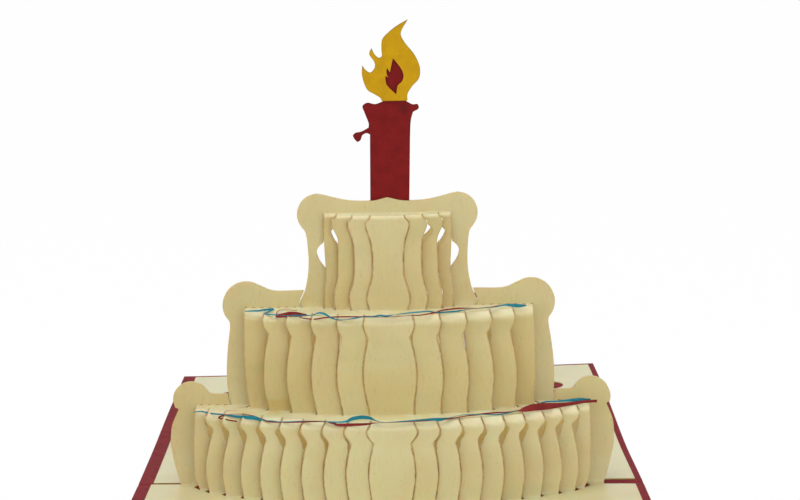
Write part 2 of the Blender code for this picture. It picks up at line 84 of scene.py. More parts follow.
# From the bottom up. The strips' edges are keys of (share of the height below the top, offset from the cut's
# place, 1 for a sharp corner), one list for the cut nearest the middle and one for the cut nearest the leg,
# with the cuts between blended from both. The windows are (share, length, width on the left, width on the
# right) from the middle cut outwards, and the last serves for all further cuts. The leg's cut has its own
# edge and window. Each strip's head leans back by headTurn over headLength before the card stands upright.
# The cuts open by footGap towards their feet. The tones are those of the strips, and of the wall's lobe and
# foot.
tiers = [
    {
        "height": 24.4, "setBackSide": 13.5, "strips": 9, "spread": 46.0, "depths": (25.0, 6.0),
        "headTurn": (54.0, 40.0), "headLength": 2.9, "bow": 0.25, "roll": 2.2, "footGap": 0.45,
        "middleEdge": [(0.0, -0.4, 0), (0.115, 0.8, 0), (0.245, -1.2, 1), (0.620, 0.2, 0), (1.0, -0.7, 0)],
        "outerEdge": [(0.0, 0.2, 0), (0.060, 0.9, 0), (0.195, -1.5, 1), (0.740, 0.9, 0), (1.0, 0.4, 0)],
        "windows": [(0.215, 5.2, 0.1, 0.1), (0.215, 5.4, 0.7, 0.7), (0.205, 5.6, 1.2, 1.2),
                    (0.200, 5.8, 1.6, 1.6), (0.195, 6.0, 2.0, 2.0)],
        "legEdge": [(0.0, -0.4, 0), (0.5, -0.1, 0), (0.86, -0.1, 0), (1.0, -1.1, 0)],
        "legWindow": (0.4, 4.0, 0.0, 0.0),
        "tone": 0.0, "wallTones": (0.45, 0.1),
    },
    {
        "height": 28.9, "setBackSide": 15.6, "strips": 5, "spread": 37.0, "depths": (16.0, 5.0),
        "headTurn": (58.0, 42.0), "headLength": 3.2, "bow": 0.3, "roll": 2.4, "footGap": 0.15,
        "middleEdge": [(0.0, -0.7, 0), (0.085, -0.3, 0), (0.210, -1.6, 1), (0.600, 0.1, 0), (1.0, -1.1, 0)],
        "outerEdge": [(0.0, -0.3, 0), (0.070, 0.3, 0), (0.205, -1.3, 1), (0.680, 0.5, 0), (1.0, -0.3, 0)],
        "windows": [(0.215, 3.8, 0.3, 0.3), (0.220, 4.2, 1.0, 0.7), (0.225, 4.4, 1.3, 0.5),
                    (0.225, 4.4, 0.9, 1.0), (0.2, 4.0, 0.1, 0.1)],
        "legEdge": [(0.0, -0.5, 0), (0.5, -0.2, 0), (1.0, -0.7, 0)],
        "legWindow": (0.4, 4.0, 0.0, 0.0),
        "tone": 0.3, "wallTones": (0.4, 0.3),
    },
    {
        "height": 27.6, "setBackSide": 23.5, "strips": 3, "spread": 55.0, "depths": (6.8, 2.0),
        "headTurn": (66.0, 40.0), "headLength": 1.2, "bow": 0.1, "roll": 1.8, "footGap": 0.0,
        "middleEdge": [(0.0, -0.6, 0), (0.080, 0.8, 0), (0.270, -0.6, 0), (0.440, -1.1, 0), (0.640, -0.9, 0),
                       (0.880, 0.8, 0), (1.0, 0.0, 0)],
        "outerEdge": [(0.0, -0.6, 0), (0.075, 0.8, 0), (0.270, -1.0, 0), (0.480, -0.9, 0), (0.660, -0.7, 0),
                      (0.900, 0.5, 0), (1.0, 0.0, 0)],
        "windows": [(0.190, 5.0, 0.0, 0.0), (0.175, 5.0, 0.3, 2.0), (0.218, 5.4, 1.7, 2.0)],
        "legEdge": [(0.0, -0.6, 0), (0.2, -0.5, 0), (0.6, -0.9, 0), (1.0, -0.3, 0)],
        "legWindow": (0.405, 7.6, 2.3, 2.3),
        "tone": 0.25, "wallTones": (0.3, 0.5),
    },
]

# How a strip's head bends. A pair is a share of the tier's headLength and a length added to it.
head = {
    "firstWay": 0.7,  # length over which the card turns at the top fold
    "secondWay": (0.35, 0.3),  # and over which it turns upright again
    "wholeWay": (1.45, 0.6),  # from the top fold until the card is upright everywhere
    "sideShorter": 0.35,  # how much shorter the head is at the strip's sides
    "steps": 160,  # of the sum that gives the head's places
    "every": 10,  # of these steps there is a row of points
    "crowding": 1.3,  # power that brings the steps closer at the fold
}

# How one strip differs from the next, and its middle from its sides
strips = {
    "bowSpread": (0.6, 1.4),  # random shares of the tier's bow and of its roll
    "rollSpread": (0.5, 1.3),
    "rounding": 0.03,  # how far the middle stands out, as a share of the strip's width
    "innerPaintedShade": 0.06,  # painted shade: tone added at the side towards the middle of the cake, where the next strip stands in front
    "randomTone": 0.1,
    "outerTone": 0.25,  # tone added, and share of the burn lost, at the strip beside the leg
    "burnLost": 0.6,
    "gapFrom": 0.75,  # share of the height below which the cuts open
    "windowEnds": (1.3, 0.8),  # a window is round above and drawn out to a point below
}

# How browned the cuts of each kind of face are, and the tone of the two that have none of their own
faceBurns = {"panel": 0.25, "top": 0.7, "wall": 0.15, "foot": 0.4}
faceTones = {"top": 0.0, "foot": 0.3}

# How a flat outline is filled with points
filling = {
    "offsets": (0.16, 0.5),  # of the rows of points beside its cuts
    "rowClear": 0.93,  # a point of a row stays if it is this share of the offset from every edge
    "gridClear": 0.4,  # and one of the grid inside if it is this share of the spacing from them
    "chunk": 400,  # points measured at once, to save memory
}

# Darker places on single strips: below the drop named from, the tone grows over the length of fade
stains = [
    {"tier": 1, "strip": 4, "sides": (-1,), "from": 24.9, "fade": 0.8, "tone": 0.3},
    {"tier": 1, "strip": 0, "sides": (1,), "from": 12.0, "fade": 9.0, "tone": 0.18},
    {"tier": 2, "strip": 0, "sides": (1,), "from": 2.0, "fade": 4.0, "tone": 0.10},
]

# The wall beside each tier: X outwards from the tier's opening, heights from its top. The wing's points lead
# from its inner end to the round lobe; the leg's points are (X, share of the tier's height below the top).
walls = [
    {
        "wingHeight": 3.4, "wing": [(-9.0, 3.4), (-6.9, 3.4), (-5.4, 3.5), (-4.5, 3.85)],
        "lobe": (0.7, 1.6), "radius": 5.55, "lobeTurn": (148.0, -20.0),
        "leg": [(4.95, 0.036), (5.5, 0.095), (6.75, 0.220), (7.2, 0.340), (7.3, 0.470), (6.9, 0.600),
                (6.15, 0.750), (5.2, 0.900), (4.5, 1.0)],
    },
    {
        "wingHeight": 5.1, "wing": [(-16.0, 5.1), (-11.5, 5.0), (-8.2, 5.3)],
        "lobe": (-0.9, 1.0), "radius": 6.95, "lobeTurn": (122.0, -43.0),
        "leg": [(4.1, 0.187), (4.75, 0.343), (5.4, 0.553), (5.55, 0.754), (4.9, 1.0)],
    },
    {
        "wingHeight": 4.7, "wing": [(-14.5, 3.7), (-9.0, 3.75), (-5.0, 4.4)],
        "lobe": (1.35, 0.0), "radius": 5.85, "lobeTurn": (98.0, -38.0),
        "leg": [(4.6, 0.225), (4.1, 0.536), (5.2, 0.797), (6.9, 0.945), (6.2, 1.0)],
    },
]


def stackTiers():
    # each tier stands on the one below, and its opening is the one below less the set back
    level = sheet["level"]
    opening = sheet["halfWidth"]
    for tier in tiers:
        opening -= tier["setBackSide"]
        tier["opening"] = opening
        tier["base"] = level
        level += tier["height"]
        tier["top"] = level


stackTiers()


def smoothStep(share):
    # rises from 0 to 1 as 3 t^2 - 2 t^3, level at both ends
    share = np.clip(share, 0, 1)
    return share**2 * (3 - 2 * share)


def smoothValue(keys, places):
    # a cubic through (place, value, corner) keys, level at every turning point and beyond both ends, and
    # reaching a corner along the line from the key on that side
    at, value, corner = np.array(keys, float).T
    rise = np.diff(value) / np.diff(at)
    slope = np.zeros(len(at))
    goesOn = rise[:-1] * rise[1:] > 0
    slope[1:-1] = np.where(goesOn, (value[2:] - value[:-2]) / (at[2:] - at[:-2]), 0.0)
    leaving = np.where(corner[:-1] > 0, 1.5 * rise, slope[:-1])
    arriving = np.where(corner[1:] > 0, 1.5 * rise, slope[1:])
    place = np.clip(places, at[0], at[-1])
    key = np.clip(np.searchsorted(at, place, side="right") - 1, 0, len(at) - 2)
    span = at[key + 1] - at[key]
    t = (place - at[key]) / span
    return (
        (2 * t**3 - 3 * t**2 + 1) * value[key]
        + (t**3 - 2 * t**2 + t) * span * leaving[key]
        + (3 * t**2 - 2 * t**3) * value[key + 1]
        + (t**3 - t**2) * span * arriving[key]
    )


def smoothRun(points, steps):
    # a Catmull-Rom curve: each span is a cubic whose end slopes are half the line between its neighbours
    points = np.array(points, float)
    ends = np.vstack([2 * points[0] - points[1], points, 2 * points[-1] - points[-2]])
    before, start, end, after = ends[:-3, None], ends[1:-2, None], ends[2:-1, None], ends[3:, None]
    t = (np.arange(steps) / steps)[None, :, None]
    spans = 0.5 * (
        2 * start
        + (end - before) * t
        + (2 * before - 5 * start + 4 * end - after) * t**2
        + (3 * start - 3 * end + after - before) * t**3
    )
    return np.vstack([spans.reshape(-1, points.shape[1]), points[-1:]])


def smoothOutline(runs, steps):
    # smooth runs that meet in sharp corners, closed
    pieces = []
    for index, run in enumerate(runs):
        points = list(run) + [runs[(index + 1) % len(runs)][0]]
        pieces.append(np.array(points[:1], float) if len(points) == 2 else smoothRun(points, steps)[:-1])
    return np.vstack(pieces)


def cutPlace(tier, cut):
    # the cuts are spaced as equal turns on a round cake: opening * sin(turn) / sin(whole turn)
    spread = math.radians(tier["spread"])
    return tier["opening"] * math.sin(spread * cut / (tier["strips"] + 1)) / math.sin(spread)


def stripDepth(tier, strip):
    # the strips stand on a flattened round: depth falls with the cosine of the turn, from the middle out
    middle, end = tier["depths"]
    wholeTurn = math.radians(sheet["wholeTurn"])
    last = math.cos(wholeTurn)
    share = (math.cos(wholeTurn * strip / tier["strips"]) - last) / (1 - last)
    return end + (middle - end) * share


def depthStep(tier, cut):
    return stripDepth(tier, cut - 1) - (stripDepth(tier, cut) if cut <= tier["strips"] else 0.0)


def cutOffset(tier, cut, drop):
    # the strip's curved edge as an offset from the cut's place
    place = drop / tier["height"]
    if cut > tier["strips"]:
        return smoothValue(tier["legEdge"], place)
    outwards = (cut - 1) / max(tier["strips"] - 1, 1)
    middle, outer = smoothValue(tier["middleEdge"], place), smoothValue(tier["outerEdge"], place)
    return middle + (outer - middle) * outwards


def nearEdge(tier, cut, drop):
    # the cut's side towards the middle, at a drop below the tier's top; it draws back near the foot
    low = np.clip((drop / tier["height"] - strips["gapFrom"]) / (1 - strips["gapFrom"]), 0, 1)
    gap = tier["footGap"] * (cut / tier["strips"]) ** 2 * low
    return cutPlace(tier, cut) + cutOffset(tier, cut, drop) - sheet["kerf"] / 2 - gap


def farEdge(tier, cut, drop, side=1):
    # the other side of the cut, cut away further by a window
    windows = tier["windows"]
    window = windows[min(cut, len(windows)) - 1] if cut <= tier["strips"] else tier["legWindow"]
    share, length, leftWidth, rightWidth = window
    reach = (drop - share * tier["height"]) / (length / 2)
    above, below = strips["windowEnds"]
    reach = np.where(reach < 0, reach * above, reach * below)
    opening = (rightWidth if side > 0 else leftWidth) * np.maximum(0.0, 1 - reach**2)
    return cutPlace(tier, cut) + cutOffset(tier, cut, drop) + sheet["kerf"] / 2 + opening


def headProfile(tier, strip, share):
    # The card turns at the top fold by headTurn, leans back for headLength and then turns upright. The
    # second turn lies higher at the strip's sides than in its middle. Both are smooth steps of the way
    # along the card, and the place is the running sum of its cosine and sine.
    middleTurn, outerTurn = tier["headTurn"]
    headTurn = math.radians(middleTurn + (outerTurn - middleTurn) * strip / tier["strips"])
    lengths = tier["headLength"] * (1 - head["sideShorter"] * (2 * share - 1) ** 2)
    secondWay, wholeWay = [
        part * tier["headLength"] + more for part, more in (head["secondWay"], head["wholeWay"])
    ]
    way = (np.linspace(0.0, 1.0, head["steps"] + 1) ** head["crowding"] * wholeWay)[:, None]
    turn = headTurn * smoothStep(way / head["firstWay"])
    turn = turn + (math.pi / 2 - headTurn) * smoothStep((way - lengths) / secondWay + 0.5)
    middle = (turn[1:] + turn[:-1]) / 2
    step = np.diff(way, axis=0)
    start = np.zeros((1, len(share)))
    out = np.vstack([start, np.cumsum(np.cos(middle) * step, axis=0)])
    drop = np.vstack([start, np.cumsum(np.sin(middle) * step, axis=0)])
    centre = len(share) // 2
    out = (out / out[-1] - 1) * out[-1, centre]
    return out[::head["every"]], drop[::head["every"]]


def foldReach(tier, strip):
    return -headProfile(tier, strip, np.array([0.5]))[0][0, 0]


def stripPath(tier, strip):
    # from the top fold down the face to the foot, as distance in front of the face and drop below the top
    share = np.array(sheet["columns"])
    headOut, headDrop = headProfile(tier, strip, share)
    radius = sheet["footRadius"]
    way = np.linspace(0.0, 1.0, sheet["bodyRows"] + 1)[1:, None]
    bodyDrop = headDrop[-1] + (tier["height"] - radius - headDrop[-1]) * way
    turn = np.linspace(0.0, math.pi / 2, sheet["footSteps"] + 1)[1:, None]
    shape = (len(turn), len(share))
    footOut = np.broadcast_to(radius * (1 - np.cos(turn)), shape)
    footDrop = np.broadcast_to(tier["height"] - radius + radius * np.sin(turn), shape)
    return np.vstack([headOut, np.zeros_like(bodyDrop), footOut]), np.vstack([headDrop, bodyDrop, footDrop])


def stripSides(tier, strip, drop, side=1):
    outer = nearEdge(tier, strip + 1, drop)
    inner = -outer if strip == 0 else farEdge(tier, strip, drop, side)
    return inner, outer


def stripColumns(tier, strip, drop):
    # columns between the two cut sides at one drop
    inner, outer = stripSides(tier, strip, np.array([drop]))
    return inner + (outer - inner) * np.array(sheet["columns"])


def stripGrid(tier, strip, side, seenSide, chance):
    # X runs across between the cut sides. The face bows forward between its two folds, is turned a little by
    # the roll so that its outer side comes forward, and rounds over across its width. All three are the
    # largest at half its height and fade towards the folds, as the square of a sine.
    out, drop = stripPath(tier, strip)
    inner, outer = stripSides(tier, strip, drop, seenSide)
    share = np.array(sheet["columns"])
    width = outer - inner
    rise = np.sin(np.pi * np.clip(drop / tier["height"], 0, 1)) ** 2
    bow = tier["bow"] * chance.uniform(*strips["bowSpread"]) * rise
    roll = math.radians(tier["roll"] * chance.uniform(*strips["rollSpread"])) * (share - 0.5) * width * rise
    rounding = strips["rounding"] * width * (1 - (2 * share - 1) ** 2) * rise
    depth = stripDepth(tier, strip) + out + bow + (roll if strip else 0.0) + rounding
    points = np.stack([side * (inner + width * share), -depth, tier["top"] - drop], -1)
    edge = np.minimum(share, 1 - share) * width
    outwards = strip / tier["strips"]
    # painted shade: darker at the side beside the inner neighbour strip, which stands in front of it
    shade = strips["innerPaintedShade"] * (1 - share) ** 1.5 if strip else 0.0
    below = np.clip(drop / tier["headLength"], 0, 1)
    tone = strips["randomTone"] * chance.random() + shade
    tone = tone + (tier["tone"] + strips["outerTone"] * outwards) * below
    for stain in stains:
        if tiers[stain["tier"]] is tier and stain["strip"] == strip and side in stain["sides"]:
            tone = tone + stain["tone"] * np.clip((drop - stain["from"]) / stain["fade"], 0, 1)
    return gridPatch(points, edge, tone, 1.0 - strips["burnLost"] * outwards)


# Patches of the sheet, each with its distance to the nearest cut, its tone and how much the cut is burnt

def gridPatch(points, edge, tone, burn):
    rows, columns = points.shape[:2]
    index = np.arange(rows * columns).reshape(rows, columns)
    faces = np.stack([index[:-1, :-1], index[:-1, 1:], index[1:, 1:], index[1:, :-1]], -1).reshape(-1, 4)
    return {
        "points": points.reshape(-1, 3),
        "faces": faces.tolist(),
        "edge": np.broadcast_to(edge, (rows, columns)).ravel(),
        "tone": np.broadcast_to(tone, (rows, columns)).ravel(),
        "burn": np.broadcast_to(burn, (rows, columns)).ravel(),
    }


def joinRuns(runs):
    # one closed loop from lines that follow each other, with a mark on each stretch that is a cut
    points = np.vstack([np.array(line)[:-1] for line, isCut in runs])
    isCut = np.concatenate([np.full(len(line) - 1, isCut) for line, isCut in runs])
    return points, isCut


def segmentDistance(points, starts, ends):
    # distance from each point to the nearest of some segments
    along = ends - starts
    length = np.maximum((along**2).sum(-1), 1e-12)
    nearest = np.full(len(points), 1e9)
    for first in range(0, len(points), filling["chunk"]):
        last = first + filling["chunk"]
        chunk = points[first:last, None]
        share = np.clip(((chunk - starts) * along).sum(-1) / length, 0, 1)
        gap = np.linalg.norm(chunk - (starts + share[..., None] * along), axis=-1)
        nearest[first:last] = gap.min(1)
    return nearest


def insideLoops(points, starts, ends):
    # a point is inside where a level line from it crosses the loops an odd number of times
    inside = np.zeros(len(points), bool)
    for first in range(0, len(points), filling["chunk"]):
        last = first + filling["chunk"]
        chunk = points[first:last, None]
        spans = (starts[:, 1] > chunk[..., 1]) != (ends[:, 1] > chunk[..., 1])
        rise = np.where(ends[:, 1] == starts[:, 1], 1.0, ends[:, 1] - starts[:, 1])
        crossing = starts[:, 0] + (chunk[..., 1] - starts[:, 1]) / rise * (ends[:, 0] - starts[:, 0])
        inside[first:last] = (spans & (chunk[..., 0] < crossing)).sum(1) % 2 == 1
    return inside


def fillFlat(runs, holes=(), spacing=None):
    # triangles over a flat outline, with rows of points beside its cuts and a grid of points inside
    loops = [joinRuns(runs)] + [(hole, np.full(len(hole), True)) for hole in holes]
    starts = np.vstack([points for points, isCut in loops])
    ends = np.vstack([np.roll(points, -1, axis=0) for points, isCut in loops])
    isCut = np.concatenate([marks for points, marks in loops])
    along = ends - starts
    length = np.maximum(np.linalg.norm(along, axis=1), 1e-9)[:, None]
    normal = np.stack([-along[:, 1], along[:, 0]], -1) / length
    middles = (starts + ends) / 2
    extra = [np.empty((0, 2))]
    for offset in filling["offsets"]:
        for sign in (1, -1):
            beside = (middles + sign * offset * normal)[isCut]
            extra.append(beside[segmentDistance(beside, starts, ends) > filling["rowClear"] * offset])
    if spacing:
        low, high = starts.min(0), starts.max(0)
        across = np.arange(low[0] + spacing / 2, high[0], spacing)
        down = np.arange(low[1] + spacing / 2, high[1], spacing)
        cells = np.stack(np.meshgrid(across, down), -1).reshape(-1, 2)
        extra.append(cells[segmentDistance(cells, starts, ends) > filling["gridClear"] * spacing])
    extra = np.vstack(extra)
    extra = extra[insideLoops(extra, starts, ends)]
    edges = []
    first = 0
    for points, marks in loops:
        index = np.arange(first, first + len(points))
        edges.extend(zip(index.tolist(), np.roll(index, -1).tolist()))
        first += len(points)
    corners = [Vector(point) for point in np.vstack([starts, extra]).tolist()]
    filled = delaunay_2d_cdt(corners, edges, [], 0, 1e-5)
    points = np.array([tuple(point) for point in filled[0]])
    faces = np.array(filled[2])
    faces = faces[insideLoops(points[faces].mean(1), starts, ends)]
    edge = segmentDistance(points, starts[isCut], ends[isCut])
    return points, faces.tolist(), edge


def flatPatch(filled, place, tone, burn):
    points, faces, edge = filled
    return {
        "points": place(points),
        "faces": faces,
        "edge": edge,
        "tone": np.broadcast_to(tone, len(points)),
        "burn": np.broadcast_to(burn, len(points)),
    }


def mirrored(runs):
    flip = np.array([-1.0, 1.0])
    return [(np.array(line)[::-1] * flip, isCut) for line, isCut in reversed(runs)]


def foldRun(x, depth):
    return np.stack([x, np.full(len(x), depth)], -1), False


def frontRuns(tier):
    # the stepped front edge of a tier's top, from its left end to its right end
    halves = []
    for strip in range(tier["strips"] + 1):
        columns = stripColumns(tier, strip, 0.0)
        depth = stripDepth(tier, strip) - foldReach(tier, strip)
        if strip:
            halves.append(foldRun(columns, depth))
        else:
            middle = foldRun(columns, depth)
        if strip < tier["strips"]:
            behind = stripDepth(tier, strip + 1) - foldReach(tier, strip + 1)
            further = stripColumns(tier, strip + 1, 0.0)[0]
            halves.append(([(columns[-1], depth), (columns[-1], behind), (further, behind)], True))
        else:
            halves.append(([(columns[-1], depth), (columns[-1], sheet["footRadius"])], True))
    return mirrored(halves) + [middle] + halves


def baseRuns(tier, wall):
    # the line where a tier stands on the face below, from the right leg's outer corner to the left one's
    radius = sheet["footRadius"]
    drop = np.array([tier["height"]])
    aside, deeper = sheet["gape"]
    legX = legFootX(tier, wall)
    runs = [foldRun(legX, radius)]
    for cut in range(tier["strips"] + 1, 0, -1):
        step = depthStep(tier, cut)
        innerDepth = stripDepth(tier, cut - 1)
        far = farEdge(tier, cut, drop)[0]
        near = nearEdge(tier, cut, drop)[0]
        line = [
            (far, innerDepth - step + radius),
            (far + aside * step, innerDepth - deeper * step + radius),
            (near + sheet["kerf"], innerDepth + radius),
            (near, innerDepth + radius),
        ]
        runs.append((line, True))
        columns = stripColumns(tier, cut - 1, tier["height"])[::-1]
        if cut > 1:
            runs.append(foldRun(columns, innerDepth + radius))
    middle = foldRun(columns, innerDepth + radius)
    return runs + [middle] + mirrored(runs)


def legFootX(tier, wall):
    # places along the leg's foot, from its outer corner to the inner one
    far = farEdge(tier, tier["strips"] + 1, np.array([tier["height"]]))[0]
    return np.linspace(tier["opening"] + wall["leg"][-1][0], far, sheet["legPoints"])


def wingX(level):
    # places along the fold between a tier's top and the wall behind it, from its outer end inwards
    tier = tiers[level]
    outer = nearEdge(tier, tier["strips"] + 1, np.zeros(1))[0]
    inner = 0.0
    if level + 1 < len(tiers):
        inner = tiers[level + 1]["opening"] + walls[level + 1]["leg"][-1][0] + sheet["slitWidth"]
    return np.linspace(outer, inner, sheet["wingPoints"])


def topRuns(level):
    # a tier's top: the stepped front edge, the fold to the wall, and the base of the next tier cut from it
    radius = sheet["footRadius"]
    wing = wingX(level)
    if level + 1 == len(tiers):
        back = [foldRun(np.concatenate([wing, -wing[-2::-1]]), radius)]
        return frontRuns(tiers[level]) + back
    foot = wing[-1] - sheet["slitWidth"]
    half = [foldRun(wing, radius), ([(wing[-1], radius), (foot, radius)], True)]
    return frontRuns(tiers[level]) + half + baseRuns(tiers[level + 1], walls[level + 1]) + mirrored(half)


def panelRuns(shift, setbacks):
    # the panel that is glued to the leaf, with the lower tier's base cut from it
    radius = sheet["footRadius"]
    foot = tiers[0]["opening"] + walls[0]["leg"][-1][0]
    slit = foot + sheet["kerf"]
    left, right = shift - sheet["halfWidth"], shift + sheet["halfWidth"]
    leftBack, rightBack = setbacks
    front = sheet["depth"]
    leftSlit, rightSlit = np.interp([-slit, slit], [left, right], setbacks)
    points = sheet["sidePoints"]
    down = np.linspace(0.0, 1.0, points)
    across = np.linspace(left, right, points)
    return baseRuns(tiers[0], walls[0]) + [
        ([(-foot, radius), (-slit, leftSlit), (left, leftBack)], True),
        (np.stack([np.full(points, left), leftBack + (front - leftBack) * down], -1), True),
        (np.stack([across, np.full(points, front)], -1), True),
        (np.stack([np.full(points, right), front + (rightBack - front) * down], -1), True),
        ([(right, rightBack), (slit, rightSlit), (foot, radius)], True),
    ]


def wallOutline(level, innerEnd):
    # from the wing's inner end over the round lobe and down the leg: smooth curves through the wall's points
    tier, wall = tiers[level], walls[level]
    corner = np.array([tier["opening"], tier["top"]])
    turn = np.radians(np.linspace(*wall["lobeTurn"], 9))
    lobe = np.array(wall["lobe"]) + wall["radius"] * np.stack([np.cos(turn), np.sin(turn)], -1)
    wing = [point for point in wall["wing"] if corner[0] + point[0] > innerEnd + 1.0]
    over = np.vstack([[(innerEnd - corner[0], wall["wingHeight"])], wing, lobe]) + corner
    leg = [over[-1]] + [corner + np.array([x, -share * tier["height"]]) for x, share in wall["leg"]]
    legRun = smoothRun(leg, 8)
    legRun[-1, 1] = tier["base"] + sheet["footRadius"]
    return smoothRun(over, 6), legRun


def wallRuns(level):
    # one wall piece: its outer edge, the foot, the cut side by the strips, the wing's fold and the slit
    tier = tiers[level]
    top = tier["top"]
    radius = sheet["footRadius"]
    lastCut = tier["strips"] + 1
    slit = []
    innerEnd = 0.0
    if level + 1 < len(tiers):
        nextLeg = wallOutline(level + 1, 0.0)[1]
        height = top + walls[level]["wingHeight"]
        rise = np.linspace(top + radius + sheet["dashHeight"], height, 12)
        beside = np.interp(rise, nextLeg[::-1, 1], nextLeg[::-1, 0]) + sheet["slitWidth"]
        beside[0] = wingX(level)[-1]
        slit = [(np.stack([beside, rise], -1), True)]
        innerEnd = beside[-1]
    over, leg = wallOutline(level, innerEnd)
    outer = np.vstack([over[:-1], leg])
    foot = legFootX(tier, walls[level])
    drop = np.linspace(tier["height"] - radius, 0.0, 40)
    inner = np.stack([farEdge(tier, lastCut, drop), top - drop], -1)
    inner[0, 0] = foot[-1]
    wing = wingX(level)
    wingLine = np.stack([wing, np.full(len(wing), top + radius + sheet["dashHeight"])], -1)
    half = [
        (outer, True),
        (np.stack([foot, np.full(len(foot), tier["base"] + radius)], -1), False),
        (np.vstack([inner, wingLine[:1]]), True),
    ]
    if slit:
        return half + [(wingLine, False)] + slit
    across = np.vstack([wingLine, wingLine[-2::-1] * np.array([-1.0, 1.0])])
    return half + [(across, False)] + mirrored(half)


def cornerFold(x, level, tone=None, dashed=False):
    # A quarter round between a level face and the wall that rises at its back. With a tone of its own it is
    # the fold of a wing, which goes on a little further up and may have the laser's dashes along it.
    radius = sheet["footRadius"]
    turn = np.linspace(0.0, math.pi / 2, sheet["footSteps"] + 1)
    depth, height = radius * (1 - np.sin(turn)), radius * (1 - np.cos(turn))
    if tone is not None:
        depth, height = np.append(depth, 0.0), np.append(height, radius + sheet["dashHeight"])
    shape = (len(depth), len(x))
    points = np.stack([
        np.broadcast_to(x, shape),
        np.broadcast_to(-depth[:, None], shape),
        np.broadcast_to(level + height[:, None], shape),
    ], -1)
    if tone is None:
        edge = np.minimum(np.abs(x - x[0]), np.abs(x - x[-1]))
        return gridPatch(points, edge, faceTones["foot"], faceBurns["foot"])
    spacing, length = sheet["dashes"]
    inDash = dashed & (np.abs(np.abs(x) % spacing - spacing / 2) < length / 2)
    burnt = inDash * np.array(sheet["dashRows"])[:, None] > 0
    edge = np.where(burnt, *sheet["dashEdge"])
    return gridPatch(points, edge, tone, np.where(burnt, 1.0, faceBurns["wall"]))


# Assembly of a sheet, and small mesh helpers

mergeDistance = 0.002  # points of neighbouring patches that are closer than this become one
toothDepth = 0.035
rearLeaf = {
    "start": 32.0,  # distance behind the crease at which the leaf leaves the table
    "rise": 0.7,  # of its far left corner
    "cornerRise": 4.0,  # and how much higher the far right one is
    "cornerPower": 1.3,
    "bulge": 0.5,
    "shear": 0.0087,  # how far it leads off to the left, per mm of depth
}


def leafLift(x, y):
    # the rear leaf isn't quite flat: it rises towards its far right corner, as a smooth step of the distance
    # times a power of the width, with a bulge between that is the square of a sine
    reach = np.clip((y - rearLeaf["start"]) / (coverHigh[1] - rearLeaf["start"]), 0.0, 1.0)
    across = np.clip((x - coverLow[0]) / (coverHigh[0] - coverLow[0]), 0.0, 1.0)
    height = rearLeaf["rise"] + rearLeaf["cornerRise"] * across ** rearLeaf["cornerPower"]
    return height * smoothStep(reach) + rearLeaf["bulge"] * np.sin(np.pi * reach) ** 2


def leafShear(y):
    # the two leaves aren't quite in line: the rear one leads off to the left
    return -rearLeaf["shear"] * np.maximum(y, 0.0)


def makeMesh(name, patches, materials):
    # puts patches together, joins their shared edges and makes every face point the same way
    mesh = bpy.data.meshes.new(name)
    faces = []
    first = 0
    for patch in patches:
        faces.extend([[corner + first for corner in face] for face in patch["faces"]])
        first += len(patch["points"])
    mesh.from_pydata((np.vstack([patch["points"] for patch in patches]) * mm).tolist(), [], faces)
    for key in ("edge", "tone", "burn"):
        layer = mesh.attributes.new(key + "Value", "FLOAT", "POINT")
        layer.data.foreach_set("value", np.concatenate([patch[key] for patch in patches]).astype(np.float32))
    work = bmesh.new()
    work.from_mesh(mesh)
    bmesh.ops.remove_doubles(work, verts=work.verts, dist=mergeDistance * mm)
    bmesh.ops.recalc_face_normals(work, faces=work.faces)
    work.to_mesh(mesh)
    work.free()
    for material in materials:
        mesh.materials.append(material)
    return mesh


def turnUp(mesh, lowest):
    # an open sheet has its good side up: the lowest level faces must look upwards
    work = bmesh.new()
    work.from_mesh(mesh)
    level = [face for face in work.faces if abs(face.normal.z) > 0.9 and face.calc_center_median().z < lowest]
    if sum(face.normal.z * face.calc_area() for face in level) < 0:
        bmesh.ops.reverse_faces(work, faces=work.faces)
    work.to_mesh(mesh)
    work.free()


def shadeRound(mesh, sharpFrom=35.0):
    # smooth shading, apart from the edges that turn by more degrees than sharpFrom
    mesh.shade_smooth()
    mesh.set_sharp_from_angle(angle=math.radians(sharpFrom))


def addObject(name, mesh):
    piece = bpy.data.objects.new(name, mesh)
    bpy.context.scene.collection.objects.link(piece)
    return piece


def thicken(piece, thickness, rim, inner):
    # gives a sheet its real thickness; the rim and the inner side can have materials of their own, as the
    # painted glow on the cream card's inner side
    solid = piece.modifiers.new("thickness", "SOLIDIFY")
    solid.thickness = thickness * mm
    solid.offset = 0.0
    solid.use_even_offset = True
    solid.use_quality_normals = True
    solid.material_offset_rim = rim
    solid.material_offset = inner
    bpy.context.view_layer.update()
    done = piece.evaluated_get(bpy.context.evaluated_depsgraph_get())
    finished = bpy.data.meshes.new_from_object(done)
    piece.modifiers.clear()
    piece.data = finished
    shadeRound(finished)


def finishPiece(piece, slot, *nodes):
    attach(piece, "root")
    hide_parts(*nodes)


# Colours and node materials

def hexColour(code):
    # an sRGB hex value as linear light
    parts = [int(code[place:place + 2], 16) / 255 for place in (1, 3, 5)]
    linear = [part / 12.92 if part <= 0.04045 else ((part + 0.055) / 1.055) ** 2.4 for part in parts]
    return (*linear, 1.0)


def addNode(tree, kind, settings=None, links=None):
    # One node: its settings by name, and what its inputs take. That is a value, an output, or another node,
    # which stands for its first output.
    node = tree.nodes.new(kind)
    for key, value in (settings or {}).items():
        setattr(node, key, value)
    for key, value in (links or {}).items():
        if isinstance(value, bpy.types.Node):
            value = value.outputs[0]
        if isinstance(value, bpy.types.NodeSocket):
            tree.links.new(value, node.inputs[key])
        else:
            node.inputs[key].default_value = value
    return node


def newMaterial(name):
    material = bpy.data.materials.new(name)
    material.use_nodes = True
    return material, material.node_tree, material.node_tree.nodes["Principled BSDF"]


